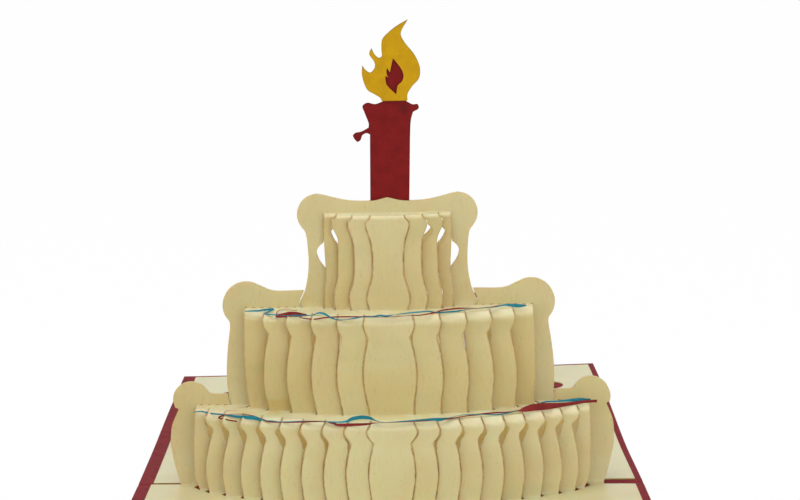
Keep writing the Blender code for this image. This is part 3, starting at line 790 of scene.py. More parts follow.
def layColours(tree, place, colour, layers):
    # Colours laid over each other. Each shows by its strength where a noise of its own, with features of
    # about the size in millimetres, passes from the first to the second value of its range.
    for layer in layers:
        stretch = layer.get("stretch", (1.0, 1.0, 1.0))
        spread = addNode(tree, "ShaderNodeMapping", {}, {"Vector": place, "Scale": stretch})
        noise = addNode(
            tree, "ShaderNodeTexNoise", {},
            {"Vector": spread, "Scale": 1 / (layer["size"] * mm), "Detail": layer["detail"],
             "Roughness": 0.55},
        )
        share = addNode(
            tree, "ShaderNodeMapRange", {"interpolation_type": "SMOOTHSTEP"},
            {"Value": noise, "From Min": layer["range"][0], "From Max": layer["range"][1],
             "To Max": layer["strength"]},
        )
        mixed = addNode(
            tree, "ShaderNodeMix", {"data_type": "RGBA"}, {0: share, 6: colour, 7: hexColour(layer["colour"])}
        )
        colour = mixed.outputs[2]
    return colour


def readValues(tree, *names):
    # values that the mesh holds at each point: distance to a cut, tone, and how much the cut is burnt
    return [
        addNode(tree, "ShaderNodeAttribute", {"attribute_name": name + "Value"}).outputs["Fac"]
        for name in names
    ]


def addTooth(tree, place, shader, size, strength):
    # the fine tooth of paper, as a bump of a few hundredths of a millimetre
    grain = addNode(
        tree, "ShaderNodeTexNoise", {},
        {"Vector": place, "Scale": 1 / (size * mm), "Detail": 3.0, "Roughness": 0.6},
    )
    bump = addNode(
        tree, "ShaderNodeBump", {}, {"Strength": strength, "Distance": toothDepth * mm, "Height": grain}
    )
    tree.links.new(bump.outputs["Normal"], shader.inputs["Normal"])


def scorchCuts(tree, colour, edge, burn, scorch, tone=None):
    # Browns a colour near the cuts, by a smooth step of the distance times the burn. Where the tone is more
    # than that, the tone counts.
    nearness = addNode(
        tree, "ShaderNodeMapRange", {"interpolation_type": "SMOOTHSTEP"},
        {"Value": edge, "From Min": scorch["span"][0], "From Max": scorch["span"][1],
         "To Min": scorch["strength"], "To Max": 0.0},
    )
    share = addNode(tree, "ShaderNodeMath", {"operation": "MULTIPLY"}, {0: nearness, 1: burn})
    if tone is not None:
        share = addNode(tree, "ShaderNodeMath", {"operation": "MAXIMUM"}, {0: share, 1: tone})
    mixed = addNode(
        tree, "ShaderNodeMix", {"data_type": "RGBA"}, {0: share, 6: colour, 7: hexColour(scorch["colour"])}
    )
    return mixed.outputs[2]


def letThrough(shader, length):
    # thin card lets some light through, warmer than it came in
    shader.inputs["Subsurface Weight"].default_value = 1.0
    shader.inputs["Subsurface Radius"].default_value = creamCard["scatter"]
    shader.inputs["Subsurface Scale"].default_value = length * mm


creamCard = {
    "face": "#e1dcb2",
    "layers": [
        {"colour": "#d6c08a", "size": 26.0, "detail": 3.0, "range": (0.42, 0.72), "strength": 0.3},
        {"colour": "#d2d2a0", "size": 17.0, "detail": 1.0, "range": (0.56, 0.74), "strength": 0.4,
         "stretch": (0.6, 0.6, 1.9)},
        {"colour": "#d6c08a", "size": 0.9, "detail": 4.0, "range": (0.52, 0.78), "strength": 0.45,
         "stretch": (1.6, 1.6, 0.35)},
        {"colour": "#a8966a", "size": 0.55, "detail": 1.0, "range": (0.70, 0.80), "strength": 0.40},
    ],
    "shade": "#e7d084",  # what the tone of a patch multiplies the colour by; the tone holds painted shade as well as random differences
    "shadeStrength": 0.9,
    "scorches": [  # each fades over the span of distances to a cut, less what the smoke takes off
        {"colour": "#b0803a", "span": (-0.33, 0.16), "strength": 0.7},
        {"colour": "#7d5a26", "span": (-0.33, -0.16), "strength": 0.8},
    ],
    "smokeSize": 2.2,
    "smokeReach": 0.55,
    "tooth": (0.35, 0.25),  # size and strength
    "roughness": 0.42,
    "sheen": 0.75,  # strength of the pearl gloss
    "scatter": (1.0, 0.62, 0.30),
    "scatterLength": 0.5,  # how far light spreads inside the card, so that it glows through a little
    "insideLength": 3.0,  # the same where the inner side shows through the windows
}
plainCard = {
    "layers": [  # soft clouds, and the paper's tooth
        {"size": 3.0, "detail": 5.0, "range": (0.35, 0.70), "strength": 1.0},
        {"size": 0.6, "detail": 3.0, "range": (0.55, 0.80), "strength": 0.35},
    ],
    "edgeStrength": 0.6,
    "tooth": (0.6, 0.3),
    "sheen": 0.2,
}


def makeCreamCard():
    # Pearl card of about 250 g: pale, faintly glossy and cloudy, with fine fibres and specks, and browned by
    # the laser for half a millimetre at each cut.
    material, tree, shader = newMaterial("laser cut cream card")
    place = addNode(tree, "ShaderNodeTexCoord").outputs["Object"]
    tone, edge, burn = readValues(tree, "tone", "edge", "burn")
    colour = layColours(tree, place, hexColour(creamCard["face"]), creamCard["layers"])
    share = addNode(tree, "ShaderNodeMapRange", {}, {"Value": tone, "To Max": creamCard["shadeStrength"]})
    shaded = addNode(
        tree, "ShaderNodeMix", {"data_type": "RGBA", "blend_type": "MULTIPLY"},
        {0: share, 6: colour, 7: hexColour(creamCard["shade"])},
    )
    smoke = addNode(
        tree, "ShaderNodeTexNoise", {},
        {"Vector": place, "Scale": 1 / (creamCard["smokeSize"] * mm), "Detail": 3.0, "Roughness": 0.6},
    )
    unevenEdge = addNode(
        tree, "ShaderNodeMath", {"operation": "MULTIPLY_ADD"},
        {0: smoke, 1: -creamCard["smokeReach"], 2: edge},
    )
    colour = shaded.outputs[2]
    for scorch in creamCard["scorches"]:
        colour = scorchCuts(tree, colour, unevenEdge, burn, scorch)
    tree.links.new(colour, shader.inputs["Base Color"])
    addTooth(tree, place, shader, *creamCard["tooth"])
    shader.inputs["Roughness"].default_value = creamCard["roughness"]
    shader.inputs["Specular IOR Level"].default_value = creamCard["sheen"]
    letThrough(shader, creamCard["scatterLength"])
    return material


def makePlainCard(name, colours, roughness, edgeColour=None, edgeWidth=0.3):
    # Plain coloured card: two close shades in soft clouds and a fine tooth. If it has an edge colour, there
    # is a darker line where the laser ran along its outline, and smudges where the tone says.
    material, tree, shader = newMaterial(name)
    place = addNode(tree, "ShaderNodeTexCoord").outputs["Object"]
    layers = [{**layer, "colour": code} for layer, code in zip(plainCard["layers"], colours[1:])]
    colour = layColours(tree, place, hexColour(colours[0]), layers)
    if edgeColour:
        tone, edge, burn = readValues(tree, "tone", "edge", "burn")
        scorch = {"colour": edgeColour, "span": (0.0, edgeWidth), "strength": plainCard["edgeStrength"]}
        colour = scorchCuts(tree, colour, edge, burn, scorch, tone)
    tree.links.new(colour, shader.inputs["Base Color"])
    addTooth(tree, place, shader, *plainCard["tooth"])
    shader.inputs["Roughness"].default_value = roughness
    shader.inputs["Specular IOR Level"].default_value = plainCard["sheen"]
    return material


creamFace = makeCreamCard()
# painted glow: the inner side is lighter and warmer than the face, standing in for the light that passes
# through the card into the windows
creamInsideGlow = makePlainCard("inner side of cream card with painted glow", ("#ffe2c2", "#f8d6b0", "#e4bf90"), 0.75)
letThrough(creamInsideGlow.node_tree.nodes["Principled BSDF"], creamCard["insideLength"])
creamRim = makePlainCard("browned cut edge", ("#bfa464", "#bd9a60", "#8a6a36"), 0.8)
print("materials ready")


# The cream sheets

roundWindow = {"radius": 5.5, "inset": (17.2, 30.0), "points": 48}  # inset from the panel's side and end
# The front panel's higher tone is painted shade: it darkens the nearer leaf, which is the same card as the
# rear one.
sheetPlans = {
    "front": {"turned": 1.0, "seed": 7, "panelTone": 0.25},
    "rear": {"turned": -1.0, "seed": 19, "panelTone": 0.08},
}
uneven = {
    "levels": [0.0, 25.3, 28.9, 38.9, 54.2, 81.8, 90.9],
    "right": [0.5, 0.7, 0.3, 0.1, -0.2, -0.45, -0.45],  # how far the cake leans to the right at each level
    "tilt": 0.009,  # rise of the tiers towards the right, per mm of width
    "tiltHeight": 24.0,  # height by which that rise is complete
}


def handFolded(points):
    # the folded card stands a little unevenly: it leans sideways and its right side rises
    x, y, z = points.T
    rise = uneven["tilt"] * x * smoothStep(z / uneven["tiltHeight"])
    lean = np.interp(z, uneven["levels"], uneven["right"]) + leafShear(y)
    return np.stack([x + lean, y, z + rise + leafLift(x, y)], -1)


def standPatches(patches, half):
    # the rear half is the front one turned half round, and both then stand as unevenly as handFolded says
    turned = sheetPlans[half]["turned"]
    for patch in patches:
        patch["points"] = handFolded(patch["points"] * np.array([turned, turned, 1.0]))


def levelPlace(height):
    return lambda points: np.stack([points[:, 0], -points[:, 1], np.full(len(points), height)], -1)


def uprightPlace(points):
    return np.stack([points[:, 0], np.zeros(len(points)), points[:, 1]], -1)


def tierPatches(index, turned, chance):
    # the strips, top and walls of one tier; turned is -1 for the rear sheet, which stands the other way round
    tier = tiers[index]
    patches = []
    for strip in range(tier["strips"] + 1):
        for side in (1, -1) if strip else (1,):
            patches.append(stripGrid(tier, strip, side, side * turned, chance))
    top = fillFlat(topRuns(index))
    patches.append(flatPatch(top, levelPlace(tier["top"]), faceTones["top"], faceBurns["top"]))
    points, faces, edge = fillFlat(wallRuns(index), (), sheet["wallSpacing"])
    isTop = index + 1 == len(tiers)
    for side in (1,) if isTop else (1, -1):
        wall = (points * np.array([side, 1.0]), faces, edge)
        height = np.clip((points[:, 1] - tier["base"]) / tier["height"], 0, 1)
        lobeTone, footTone = tier["wallTones"]
        tone = footTone + (lobeTone - footTone) * height
        patches.append(flatPatch(wall, uprightPlace, tone, faceBurns["wall"]))
    for side in (1, -1):
        patches.append(cornerFold(side * legFootX(tier, walls[index]), tier["base"]))
    wing = wingX(index)
    for line in [np.concatenate([wing, -wing[-2::-1]])] if isTop else [wing, -wing]:
        patches.append(cornerFold(line, tier["top"], lobeTone, not isTop))
    return patches


def makeSheet(half):
    name = half + "CakeSheet"
    plan = sheetPlans[half]
    chance = np.random.default_rng(plan["seed"])
    holes = []
    if half == "rear":
        turn = np.linspace(0.0, 2 * math.pi, roundWindow["points"] + 1)[:-1]
        fromSide, fromFront = roundWindow["inset"]
        centre = np.array([fromSide - sheet["halfWidth"] - sheet["shift"], sheet["depth"] - fromFront])
        holes = [centre + roundWindow["radius"] * np.stack([np.cos(turn), np.sin(turn)], -1)]
    if half == "front":
        panel = panelRuns(sheet["shift"] + sheet["frontSlip"], sheet["creaseSetbacks"])
    else:
        panel = panelRuns(-sheet["shift"], sheet["creaseSetbacks"][::-1])
    filled = fillFlat(panel, holes, sheet["panelSpacing"])
    patches = [flatPatch(filled, levelPlace(sheet["level"]), plan["panelTone"], faceBurns["panel"])]
    for index in range(len(tiers)):
        patches.extend(tierPatches(index, plan["turned"], chance))
    for patch in patches:
        patch["points"] = patch["points"] - np.array([0.0, sheet["wallOffset"], 0.0])
    standPatches(patches, half)
    mesh = makeMesh(name, patches, [creamFace, creamInsideGlow, creamRim])
    turnUp(mesh, (sheet["level"] + sheet["faceUp"]) * mm)
    piece = addObject(name, mesh)
    thicken(piece, sheet["thickness"], 2, 1)
    finishPiece(piece, "cream_card", half + "_cake_sheet")
    print(name, len(piece.data.polygons), "faces")


for half in sheetPlans:
    makeSheet(half)


# The cover

coverCard = {
    "top": 0.65,  # a little thicker than its stock, to take in the glue under the panels
    "creaseWidth": 1.6,
    "creaseDepth": 0.22,
    "creaseReach": 3.0,  # on both sides of the crease the grid is finer
    "gridPoints": (41, 25, 25, 41),  # across, and along the front leaf, the crease and the rear leaf
    "colours": ("#85262c", "#742025", "#a04246"),
}


def makeCover(material):
    # a level grid that dips at the crease as a bell curve, with the rear leaf's lift
    across, front, crease, rear = coverCard["gridPoints"]
    reach = coverCard["creaseReach"]
    x = np.linspace(coverLow[0], coverHigh[0], across)
    y = np.unique(np.concatenate([
        np.linspace(coverLow[1], -reach, front),
        np.linspace(-reach, reach, crease),
        np.linspace(reach, coverHigh[1], rear),
    ]))
    gridX, gridY = np.meshgrid(x, y)
    dip = coverCard["creaseDepth"] * np.exp(-((gridY / (coverCard["creaseWidth"] / 2)) ** 2))
    under = leafLift(gridX, gridY)
    top = coverCard["top"] - dip + under
    edge = np.minimum(
        np.minimum(gridX - x[0], x[-1] - gridX), np.minimum(gridY - y[0], y[-1] - gridY)
    )
    gridX = gridX + leafShear(gridY)
    upper = gridPatch(np.stack([gridX, gridY, top], -1), edge, 0.0, 0.0)
    lower = gridPatch(np.stack([gridX, gridY, under], -1), edge, 0.0, 0.0)
    rims = []
    for line in (np.s_[0, :], np.s_[-1, :], np.s_[:, 0], np.s_[:, -1]):
        high = np.stack([gridX[line], gridY[line], top[line]], -1)
        low = np.stack([gridX[line], gridY[line], under[line]], -1)
        rims.append(gridPatch(np.stack([high, low]), 0.0, 0.0, 0.0))
    mesh = makeMesh("coverCard", [upper, lower, *rims], [material])
    shadeRound(mesh)
    finishPiece(addObject("coverCard", mesh), "cover_card", "cover")


makeCover(makePlainCard("dark red uncoated card", coverCard["colours"], 0.8))
print("cover ready")


# The candle and its flames

candle = {
    "thickness": 0.4,
    "halfWidth": 5.5,
    "shift": 0.4,
    "footDrop": 8.0,  # below the top tier
    "spacing": 1.2,
    "colours": ("#811112", "#760c0e", "#8f1b1c"),
    "scorch": "#4c0d0f",
    "smudge": {"place": (4.0, -1.9), "reach": 2.2, "strength": 0.8},
}
flame = {
    "thickness": 0.3,
    "rise": 22.35,  # of its tip above the candle's lips
    "spacing": 1.2,
    "unburnt": 0.4,  # distance from the cut-out within which the card isn't browned
    "colours": ("#cfa000", "#c49500", "#d8ac08"),
    "scorch": "#8a6410",
}
candle["top"] = flameHigh[2] - flame["rise"]


def candleOutline():
    # straight sides, and smooth runs for the melted lips, the drip on the left and the tongue of the flame
    side = candle["halfWidth"]
    foot = tiers[2]["top"] - candle["footDrop"] - candle["top"]
    return smoothOutline(
        [
            [(-side - 0.3, foot)],
            [(side - 0.1, foot)],
            [(side + 0.4, -10.5), (side + 0.6, -5.8), (side + 1.2, -3.2)],
            [(side + 1.5, -2.8), (side + 2.9, -1.9), (side + 2.6, -0.7), (side + 1.1, -0.7)],
            [(4.9, 0.2), (4.8, 2.0), (5.6, 7.0), (4.6, 11.5), (1.8, 15.0), (-1.0, 11.5), (-2.2, 6.0),
             (-1.6, 1.8)],
            [(-2.0, 0.1), (-4.2, -0.6), (-6.4, -0.2), (-7.8, -1.2), (-7.2, -3.1), (-6.1, -6.0)],
            [(-6.1, -7.4), (-8.1, -8.5), (-9.9, -8.9)],
            [(-10.7, -9.7), (-10.2, -10.7), (-9.3, -11.5), (-8.4, -10.9), (-7.9, -9.6), (-6.7, -9.0)],
            [(-side - 0.2, -9.4)],
        ],
        8,
    )


def flameOutline():
    return smoothOutline(
        [
            [(5.2, 0.4), (5.3, 2.5), (6.8, 4.8), (8.6, 6.9), (8.8, 10.1), (7.2, 13.7), (4.5, 17.1),
             (3.4, 19.9)],
            [(5.4, 23.7), (2.1, 21.8), (-0.4, 19.8), (-2.0, 17.9), (-2.2, 15.2), (-2.1, 13.3), (-3.0, 12.7),
             (-4.2, 13.7)],
            [(-5.1, 15.5), (-5.7, 13.8), (-4.3, 11.6), (-4.2, 9.9), (-5.4, 8.5), (-6.7, 9.1)],
            [(-7.8, 10.5), (-7.8, 7.5), (-6.5, 3.8), (-4.3, 2.3), (-2.7, 1.3)],
            [(-2.2, 0.3)],
        ],
        8,
    )


def flameCutout():
    return smoothOutline(
        [
            [(1.1, 12.6), (2.2, 11.3), (3.6, 9.3), (4.1, 7.4), (3.6, 5.9), (2.4, 4.7)],
            [(2.0, 2.2), (0.5, 3.6), (-0.7, 4.9), (-1.1, 6.4)],
            [(-1.1, 7.6)],
            [(-0.4, 7.1), (-0.8, 8.4)],
            [(-0.7, 9.9)],
            [(0.2, 8.6), (0.6, 10.6)],
        ],
        6,
    )


def makeUprightCard(name, outline, holes, middleY, plan, materials, slot, node):
    # a flat card that stands up from its outline, with its cuts darker and a soft smudge if the plan has one
    closed = np.vstack([outline, outline[:1]])
    filled = fillFlat([(closed, True)], holes, plan["spacing"])
    burn = 1.0
    for hole in holes:
        beside = segmentDistance(filled[0], hole, np.roll(hole, -1, axis=0))
        burn = np.clip(beside - plan["unburnt"], 0, 1)
    tone = 0.0
    if "smudge" in plan:
        smudge = plan["smudge"]
        reach = np.linalg.norm(filled[0] - np.array(smudge["place"]), axis=1) / smudge["reach"]
        tone = smudge["strength"] * np.clip(1 - reach, 0, 1)

    def stand(points):
        x, z = points.T
        return np.stack([x + candle["shift"], np.full(len(x), middleY), z + candle["top"]], -1)

    piece = addObject(name, makeMesh(name, [flatPatch(filled, stand, tone, burn)], materials))
    thicken(piece, plan["thickness"], 1, 0)
    finishPiece(piece, slot, node)


candleCards = [
    makePlainCard("dark red card", candle["colours"], 0.7, candle["scorch"]),
    makePlainCard("browned edge of red card", (candle["scorch"], "#3a0a0b", "#5d1517"), 0.8),
]
flameCards = [
    makePlainCard("golden yellow card", flame["colours"], 0.68, flame["scorch"], 0.28),
    makePlainCard("browned edge of yellow card", (flame["scorch"], "#5e3f06", "#94701c"), 0.8),
]
makeUprightCard("candleCard", candleOutline(), [], 0.0, candle, candleCards, "candle_card", "candle")
flameY = (flameLow[1] + flameHigh[1]) / 2
for name, middleY, node in (("flameFront", flameY, "flame_front"), ("flameRear", -flameY, "flame_rear")):
    makeUprightCard(name, flameOutline(), [flameCutout()], middleY, flame, flameCards, "flame_card", node)
print("candle and flames ready")


# The paper streamers

# Each station is (share of the tier's opening, distance behind the strips' faces, lift above the top, width,
# twist in turns). The lift is that of the lowest side; below the top, the ribbon hangs over the front edge.
streamers = {
    ("teal", "upper"): [
        (-0.98, 0.3, -0.2, 0.4, 0.05), (-0.90, 0.3, -0.2, 0.5, 0.20), (-0.84, 1.2, 0.1, 0.6, 0.25),
        (-0.78, 1.6, 0.5, 0.5, 0.30), (-0.84, 0.3, -0.5, 0.5, 0.50), (-0.79, 0.3, -0.7, 0.4, 0.60),
        (-0.66, 0.3, -0.6, 0.4, 0.70), (-0.54, 0.3, -0.3, 0.45, 0.90), (-0.47, 1.2, 0.3, 0.55, 1.10),
        (-0.42, 0.3, -0.1, 0.6, 1.25), (-0.39, 0.3, -0.8, 0.6, 1.30), (-0.34, 0.3, -1.3, 0.45, 1.40),
        (-0.28, 0.3, -1.0, 0.45, 1.50), (-0.23, 0.3, -0.8, 0.4, 1.60), (-0.17, 0.3, -0.4, 0.4, 1.70),
        (-0.11, 0.3, -0.4, 0.4, 1.75), (-0.06, 0.3, -0.2, 0.5, 1.75), (-0.01, 0.3, -0.3, 0.45, 1.80),
        (0.06, 1.2, 0.1, 0.4, 2.00), (0.14, 2.0, 0.2, 0.4, 2.10), (0.21, 2.0, 0.3, 0.4, 2.20),
        (0.27, 2.0, 0.4, 0.4, 2.25), (0.32, 1.8, 0.0, 0.4, 2.30), (0.39, 1.7, 0.0, 0.45, 2.30),
        (0.46, 1.9, 0.0, 0.5, 2.30), (0.51, 2.0, 0.3, 0.45, 2.40), (0.60, 2.0, 0.6, 0.36, 2.50),
        (0.72, 2.0, 0.5, 0.36, 2.60), (0.79, 2.0, 0.6, 0.5, 2.70), (0.85, 1.7, 0.0, 0.95, 2.75),
        (0.90, 1.2, -0.2, 0.9, 2.75), (0.94, 1.1, 0.0, 0.4, 2.80),
    ],
    ("red", "upper"): [
        (-0.62, 2.0, 0.8, 0.36, 0.00), (-0.74, 2.0, 0.4, 0.36, 0.05), (-0.76, 0.3, -1.2, 0.8, 0.20),
        (-0.71, 0.3, -1.2, 1.3, 0.25), (-0.66, 0.3, -0.8, 1.5, 0.25), (-0.60, 0.3, -0.7, 1.4, 0.30),
        (-0.55, 0.3, -0.2, 0.5, 0.40), (-0.60, 0.3, -0.8, 0.4, 0.50), (-0.51, 0.3, -1.3, 0.4, 0.60),
        (-0.41, 0.3, -0.7, 0.36, 0.70), (-0.29, 0.3, -0.4, 0.36, 0.75), (-0.15, 0.3, -0.4, 0.3, 0.80),
        (-0.02, 0.3, -0.4, 0.3, 1.00), (0.11, 0.3, -0.2, 0.4, 1.00), (0.20, 0.3, -0.2, 0.4, 1.05),
        (0.26, 0.5, 0.0, 0.36, 1.10), (0.32, 1.8, 0.1, 0.36, 1.20), (0.36, 2.0, 0.5, 0.4, 1.25),
        (0.42, 2.0, 0.7, 0.45, 1.25), (0.47, 2.0, 0.8, 0.45, 1.30), (0.53, 2.0, 0.8, 0.36, 1.40),
        (0.61, 2.0, 0.6, 0.36, 1.50), (0.68, 2.0, 0.6, 0.36, 1.50), (0.75, 2.0, 0.9, 0.36, 1.50),
    ],
    ("teal", "lower"): [
        (-1.00, 0.3, -0.7, 0.4, 0.00), (-0.96, 0.3, -0.6, 0.4, 0.10), (-0.91, 0.3, -0.8, 0.45, 0.20),
        (-0.83, 0.3, -0.6, 0.45, 0.25), (-0.76, 0.3, -0.8, 0.8, 0.25), (-0.71, 0.3, -0.8, 1.1, 0.25),
        (-0.67, 0.3, -0.9, 1.2, 0.27), (-0.64, 0.3, -1.1, 0.9, 0.35), (-0.60, 0.3, -0.6, 0.5, 0.50),
        (-0.55, 0.3, -0.7, 0.36, 0.50), (-0.45, 0.3, -0.2, 0.36, 0.50), (-0.37, 0.3, -0.1, 0.36, 0.55),
        (-0.30, 0.3, -0.2, 0.36, 0.60), (-0.23, 0.3, -0.2, 0.5, 0.70), (-0.19, 1.2, 0.2, 1.0, 0.75),
        (-0.145, 1.4, 0.5, 1.1, 0.75), (-0.105, 1.4, 0.3, 1.0, 0.80), (-0.07, 0.3, 0.0, 0.5, 0.90),
        (-0.03, 0.3, -0.2, 0.36, 1.00), (0.06, 0.3, 0.0, 0.36, 1.05), (0.12, 0.5, 0.0, 0.4, 1.20),
        (0.19, 0.3, 0.0, 0.7, 1.25), (0.235, 0.3, -0.2, 1.0, 1.30), (0.28, 1.2, 0.1, 0.7, 1.40),
        (0.32, 2.0, 0.5, 0.55, 1.45), (0.36, 2.0, 0.8, 0.5, 1.50), (0.43, 2.0, 0.6, 0.36, 1.50),
        (0.53, 2.0, 0.0, 0.36, 1.60), (0.60, 2.6, 0.2, 0.36, 1.70), (0.68, 3.0, 0.6, 0.36, 1.75),
        (0.76, 2.0, 1.9, 0.4, 1.80), (0.81, 2.0, 1.6, 0.45, 1.75), (0.88, 2.0, 1.1, 0.7, 1.75),
        (0.93, 2.0, 0.6, 1.0, 1.75), (0.97, 2.0, 0.3, 0.9, 1.75), (1.00, 2.0, 0.7, 0.4, 1.80),
    ],
    ("red", "lower"): [
        (-0.77, -0.8, -1.8, 0.4, 0.20), (-0.84, -0.8, -1.6, 0.4, 0.22), (-0.865, -0.8, -1.4, 0.4, 0.25),
        (-0.83, 0.0, -0.5, 0.45, 0.40), (-0.76, 1.0, 0.1, 0.5, 0.50), (-0.70, 1.2, 0.1, 0.4, 0.50),
        (-0.64, 0.3, -0.5, 0.36, 0.60), (-0.60, 0.3, -1.1, 0.36, 0.70), (-0.50, 0.3, -0.8, 0.36, 0.75),
        (-0.39, 0.3, -0.3, 0.36, 0.80), (-0.33, 0.3, -0.2, 0.45, 0.90), (-0.29, 0.3, -0.5, 0.7, 1.05),
        (-0.26, 0.3, -1.2, 0.8, 1.15), (-0.175, 0.3, -1.1, 0.8, 1.25), (-0.115, 0.3, -0.8, 0.6, 1.30),
        (-0.09, 0.3, -0.4, 0.36, 1.40), (-0.01, 0.3, -0.2, 0.3, 1.50), (0.24, 0.5, 0.0, 0.3, 1.60),
        (0.36, 1.8, 0.3, 0.3, 1.70), (0.42, 2.0, 0.4, 0.4, 1.75), (0.50, 2.0, 0.5, 0.45, 1.80),
        (0.56, 2.0, 0.4, 0.5, 1.90), (0.62, 1.6, 0.6, 0.7, 2.00), (0.66, 1.3, 0.2, 1.5, 2.20),
        (0.70, 1.2, 0.2, 2.0, 2.25), (0.76, 1.2, 0.0, 2.0, 2.25), (0.82, 1.2, 0.0, 1.5, 2.25),
        (0.88, 1.3, 0.0, 1.1, 2.25), (0.95, 1.1, 0.0, 0.8, 2.25), (1.03, 1.4, 0.1, 0.8, 2.25),
    ],
}
ribbon = {
    "thickness": 0.12,
    "steps": 6,
    "tiers": {"upper": 1, "lower": 0},
    "section": [(1, 1), (0, 1.25), (-1, 1), (-1, -1), (0, -1.25), (1, -1)],  # across and up, in halves
    "lowest": -2.0,  # how far a ribbon may hang below the top's level
    "hangForward": 0.5,  # how much further forward it lies where it hangs over the front edge
    "hangOver": 0.4,  # drop over which it comes forward
    "rearBehind": 1.2,  # at the rear it lies at least this far behind the strips' faces
    "rearLift": 0.15,  # share of the lift at the rear, where the streamers lie flatter and stay out of sight
    "teal": ("#1f8a9e", "#187688", "#3fa6b4"),
    "red": ("#8a2624", "#78201e", "#a64440"),
}


def frontEdge(tier, x):
    # a smooth line through a tier's stepped front edge: its depth in front of the wall
    spread = math.radians(tier["spread"])
    turn = np.arcsin(np.clip(np.abs(x) / tier["opening"], 0, 1) * math.sin(spread))
    strip = np.clip((tier["strips"] + 1) * turn / spread - 0.5, 0, tier["strips"])
    places = np.arange(tier["strips"] + 1)
    return np.interp(strip, places, [stripDepth(tier, place) for place in places])


def makeStreamer(colour, level, half, stations):
    # a flat strip carried along a smooth route and turned about it by the twist
    tier = tiers[ribbon["tiers"][level]]
    share, behind, lift, width, twist = smoothRun(stations, ribbon["steps"]).T
    if half == "rear":
        behind = np.maximum(behind, ribbon["rearBehind"])
        lift = lift.clip(0.0) * ribbon["rearLift"]
    behind = behind - ribbon["hangForward"] * np.clip(-lift / ribbon["hangOver"], 0, 1)
    x = share * tier["opening"]
    y = behind - frontEdge(tier, x) - sheet["wallOffset"]
    angle = 2 * np.pi * twist
    lowest = np.abs(np.sin(angle)) * width / 2 + ribbon["thickness"]
    z = tier["top"] + sheet["thickness"] / 2 + np.maximum(lift, ribbon["lowest"]) + lowest
    line = np.stack([x, y, z], -1)
    ahead = np.gradient(line, axis=0)
    ahead /= np.linalg.norm(ahead, axis=1)[:, None]
    flat = np.cross(np.array([0.0, 0.0, 1.0]), ahead)
    flat /= np.linalg.norm(flat, axis=1)[:, None]
    above = np.cross(ahead, flat)
    wide = np.cos(angle)[:, None] * flat + np.sin(angle)[:, None] * above
    thick = np.cross(ahead, wide)
    ring = [
        line + wide * (across * width / 2)[:, None] + thick * (up * ribbon["thickness"] / 2)
        for across, up in ribbon["section"]
    ]
    patches = [gridPatch(np.stack(ring + ring[:1], 1), 0.0, 0.0, 0.0)]
    none = np.zeros(len(ring))
    for end in (0, -1):
        cap = np.array([side[end] for side in ring])
        patches.append(
            {"points": cap, "faces": [list(range(len(ring)))], "edge": none, "tone": none, "burn": none}
        )
    standPatches(patches, half)
    name = "streamer" + colour.title() + level.title() + half.title()
    mesh = makeMesh(name, patches, [papers[colour]])
    shadeRound(mesh, 50.0)
    finishPiece(addObject(name, mesh), colour + "_paper", "_".join(["streamer", colour, level, half]))


papers = {
    "teal": makePlainCard("dyed teal tissue", ribbon["teal"], 0.5),
    "red": makePlainCard("dyed red tissue", ribbon["red"], 0.5),
}
for (colour, level), stations in streamers.items():
    for half in sheetPlans:
        makeStreamer(colour, level, half, stations)
print("streamers ready")


# Floor, light and camera

studio = {
    "floor": "#fafafa",
    "floorSize": 40.0,
    "floorDrop": 0.0001,
    "aim": (0.0, 0.0, 0.05),  # where the lamps point
    "glow": 0.975,  # share of the floor's own white that only the camera, gloss and glass see
    "world": 0.58,
    "key": {"place": (-0.15, -0.15, 0.9), "size": 0.5, "power": 2.6},
    "fill": {"place": (0.3, -1.2, 0.5), "size": 1.0, "power": 3.6},
}
view = {
    "focalPixels": 2110.0,
    "imageWidth": 800,
    "place": (3.19, -608.9, 164.3),
    "pitch": 8.727,
    "roll": 0.35,
}


def seenDirectly(tree):
    # 1 for camera, gloss and glass rays, 0 for the light that reaches the card
    rays = addNode(tree, "ShaderNodeLightPath")
    total = addNode(
        tree, "ShaderNodeMath", {"operation": "ADD"},
        {0: rays.outputs["Is Camera Ray"], 1: rays.outputs["Is Glossy Ray"]},
    )
    return addNode(
        tree, "ShaderNodeMath", {"operation": "ADD", "use_clamp": True},
        {0: total, 1: rays.outputs["Is Transmission Ray"]},
    )


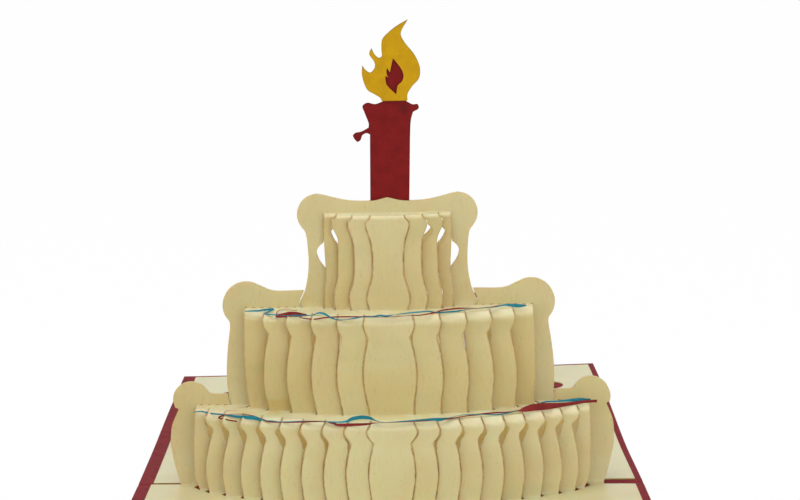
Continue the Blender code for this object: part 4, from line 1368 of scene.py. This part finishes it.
def makeFloor():
    material = bpy.data.materials.new("white paper sweep")
    material.use_nodes = True
    tree = material.node_tree
    tree.nodes.clear()
    matt = addNode(tree, "ShaderNodeBsdfDiffuse", {}, {"Color": hexColour(studio["floor"])})
    glow = addNode(tree, "ShaderNodeEmission", {}, {"Color": (1.0, 1.0, 1.0, 1.0), "Strength": 1.0})
    share = addNode(
        tree, "ShaderNodeMath", {"operation": "MULTIPLY"}, {0: seenDirectly(tree), 1: studio["glow"]}
    )
    mixed = addNode(tree, "ShaderNodeMixShader", {}, {0: share, 1: matt, 2: glow})
    addNode(tree, "ShaderNodeOutputMaterial", {}, {"Surface": mixed})
    half = studio["floorSize"] / 2
    corners = [(-half, -half), (half, -half), (half, half), (-half, half)]
    mesh = bpy.data.meshes.new("floor")
    mesh.from_pydata([(x, y, -studio["floorDrop"]) for x, y in corners], [], [(0, 1, 2, 3)])
    mesh.materials.append(material)
    addObject("floor", mesh)


def makeWorld():
    world = bpy.data.worlds.new("studio air")
    bpy.context.scene.world = world
    world.use_nodes = True
    tree = world.node_tree
    tree.nodes.clear()
    strength = addNode(
        tree, "ShaderNodeMath", {"operation": "MULTIPLY_ADD"},
        {0: seenDirectly(tree), 1: 1.0 - studio["world"], 2: studio["world"]},
    )
    background = addNode(
        tree, "ShaderNodeBackground", {}, {"Color": (1.0, 1.0, 1.0, 1.0), "Strength": strength}
    )
    addNode(tree, "ShaderNodeOutputWorld", {}, {"Surface": background})


def addLamp(name, plan):
    lamp = bpy.data.lights.new(name, "AREA")
    lamp.shape = "SQUARE"
    lamp.size = plan["size"]
    lamp.energy = plan["power"]
    holder = bpy.data.objects.new(name, lamp)
    holder.location = plan["place"]
    holder.rotation_euler = (Vector(studio["aim"]) - holder.location).to_track_quat("-Z", "Y").to_euler()
    bpy.context.scene.collection.objects.link(holder)


def addCamera():
    lens = bpy.data.cameras.new("view")
    lens.sensor_fit = "HORIZONTAL"
    lens.sensor_width = 36.0
    lens.lens = view["focalPixels"] / view["imageWidth"] * lens.sensor_width
    lens.clip_start = 0.01
    holder = bpy.data.objects.new("view", lens)
    tilt = Matrix.Rotation(math.radians(90.0 - view["pitch"]), 4, "X")
    roll = Matrix.Rotation(math.radians(-view["roll"]), 4, "Z")
    holder.matrix_world = Matrix.Translation(Vector(view["place"]) * mm) @ tilt @ roll
    bpy.context.scene.collection.objects.link(holder)
    bpy.context.scene.camera = holder


makeFloor()
makeWorld()
addLamp("key", studio["key"])
addLamp("fill", studio["fill"])
addCamera()
bpy.context.scene.view_settings.view_transform = "Standard"
print("studio ready")
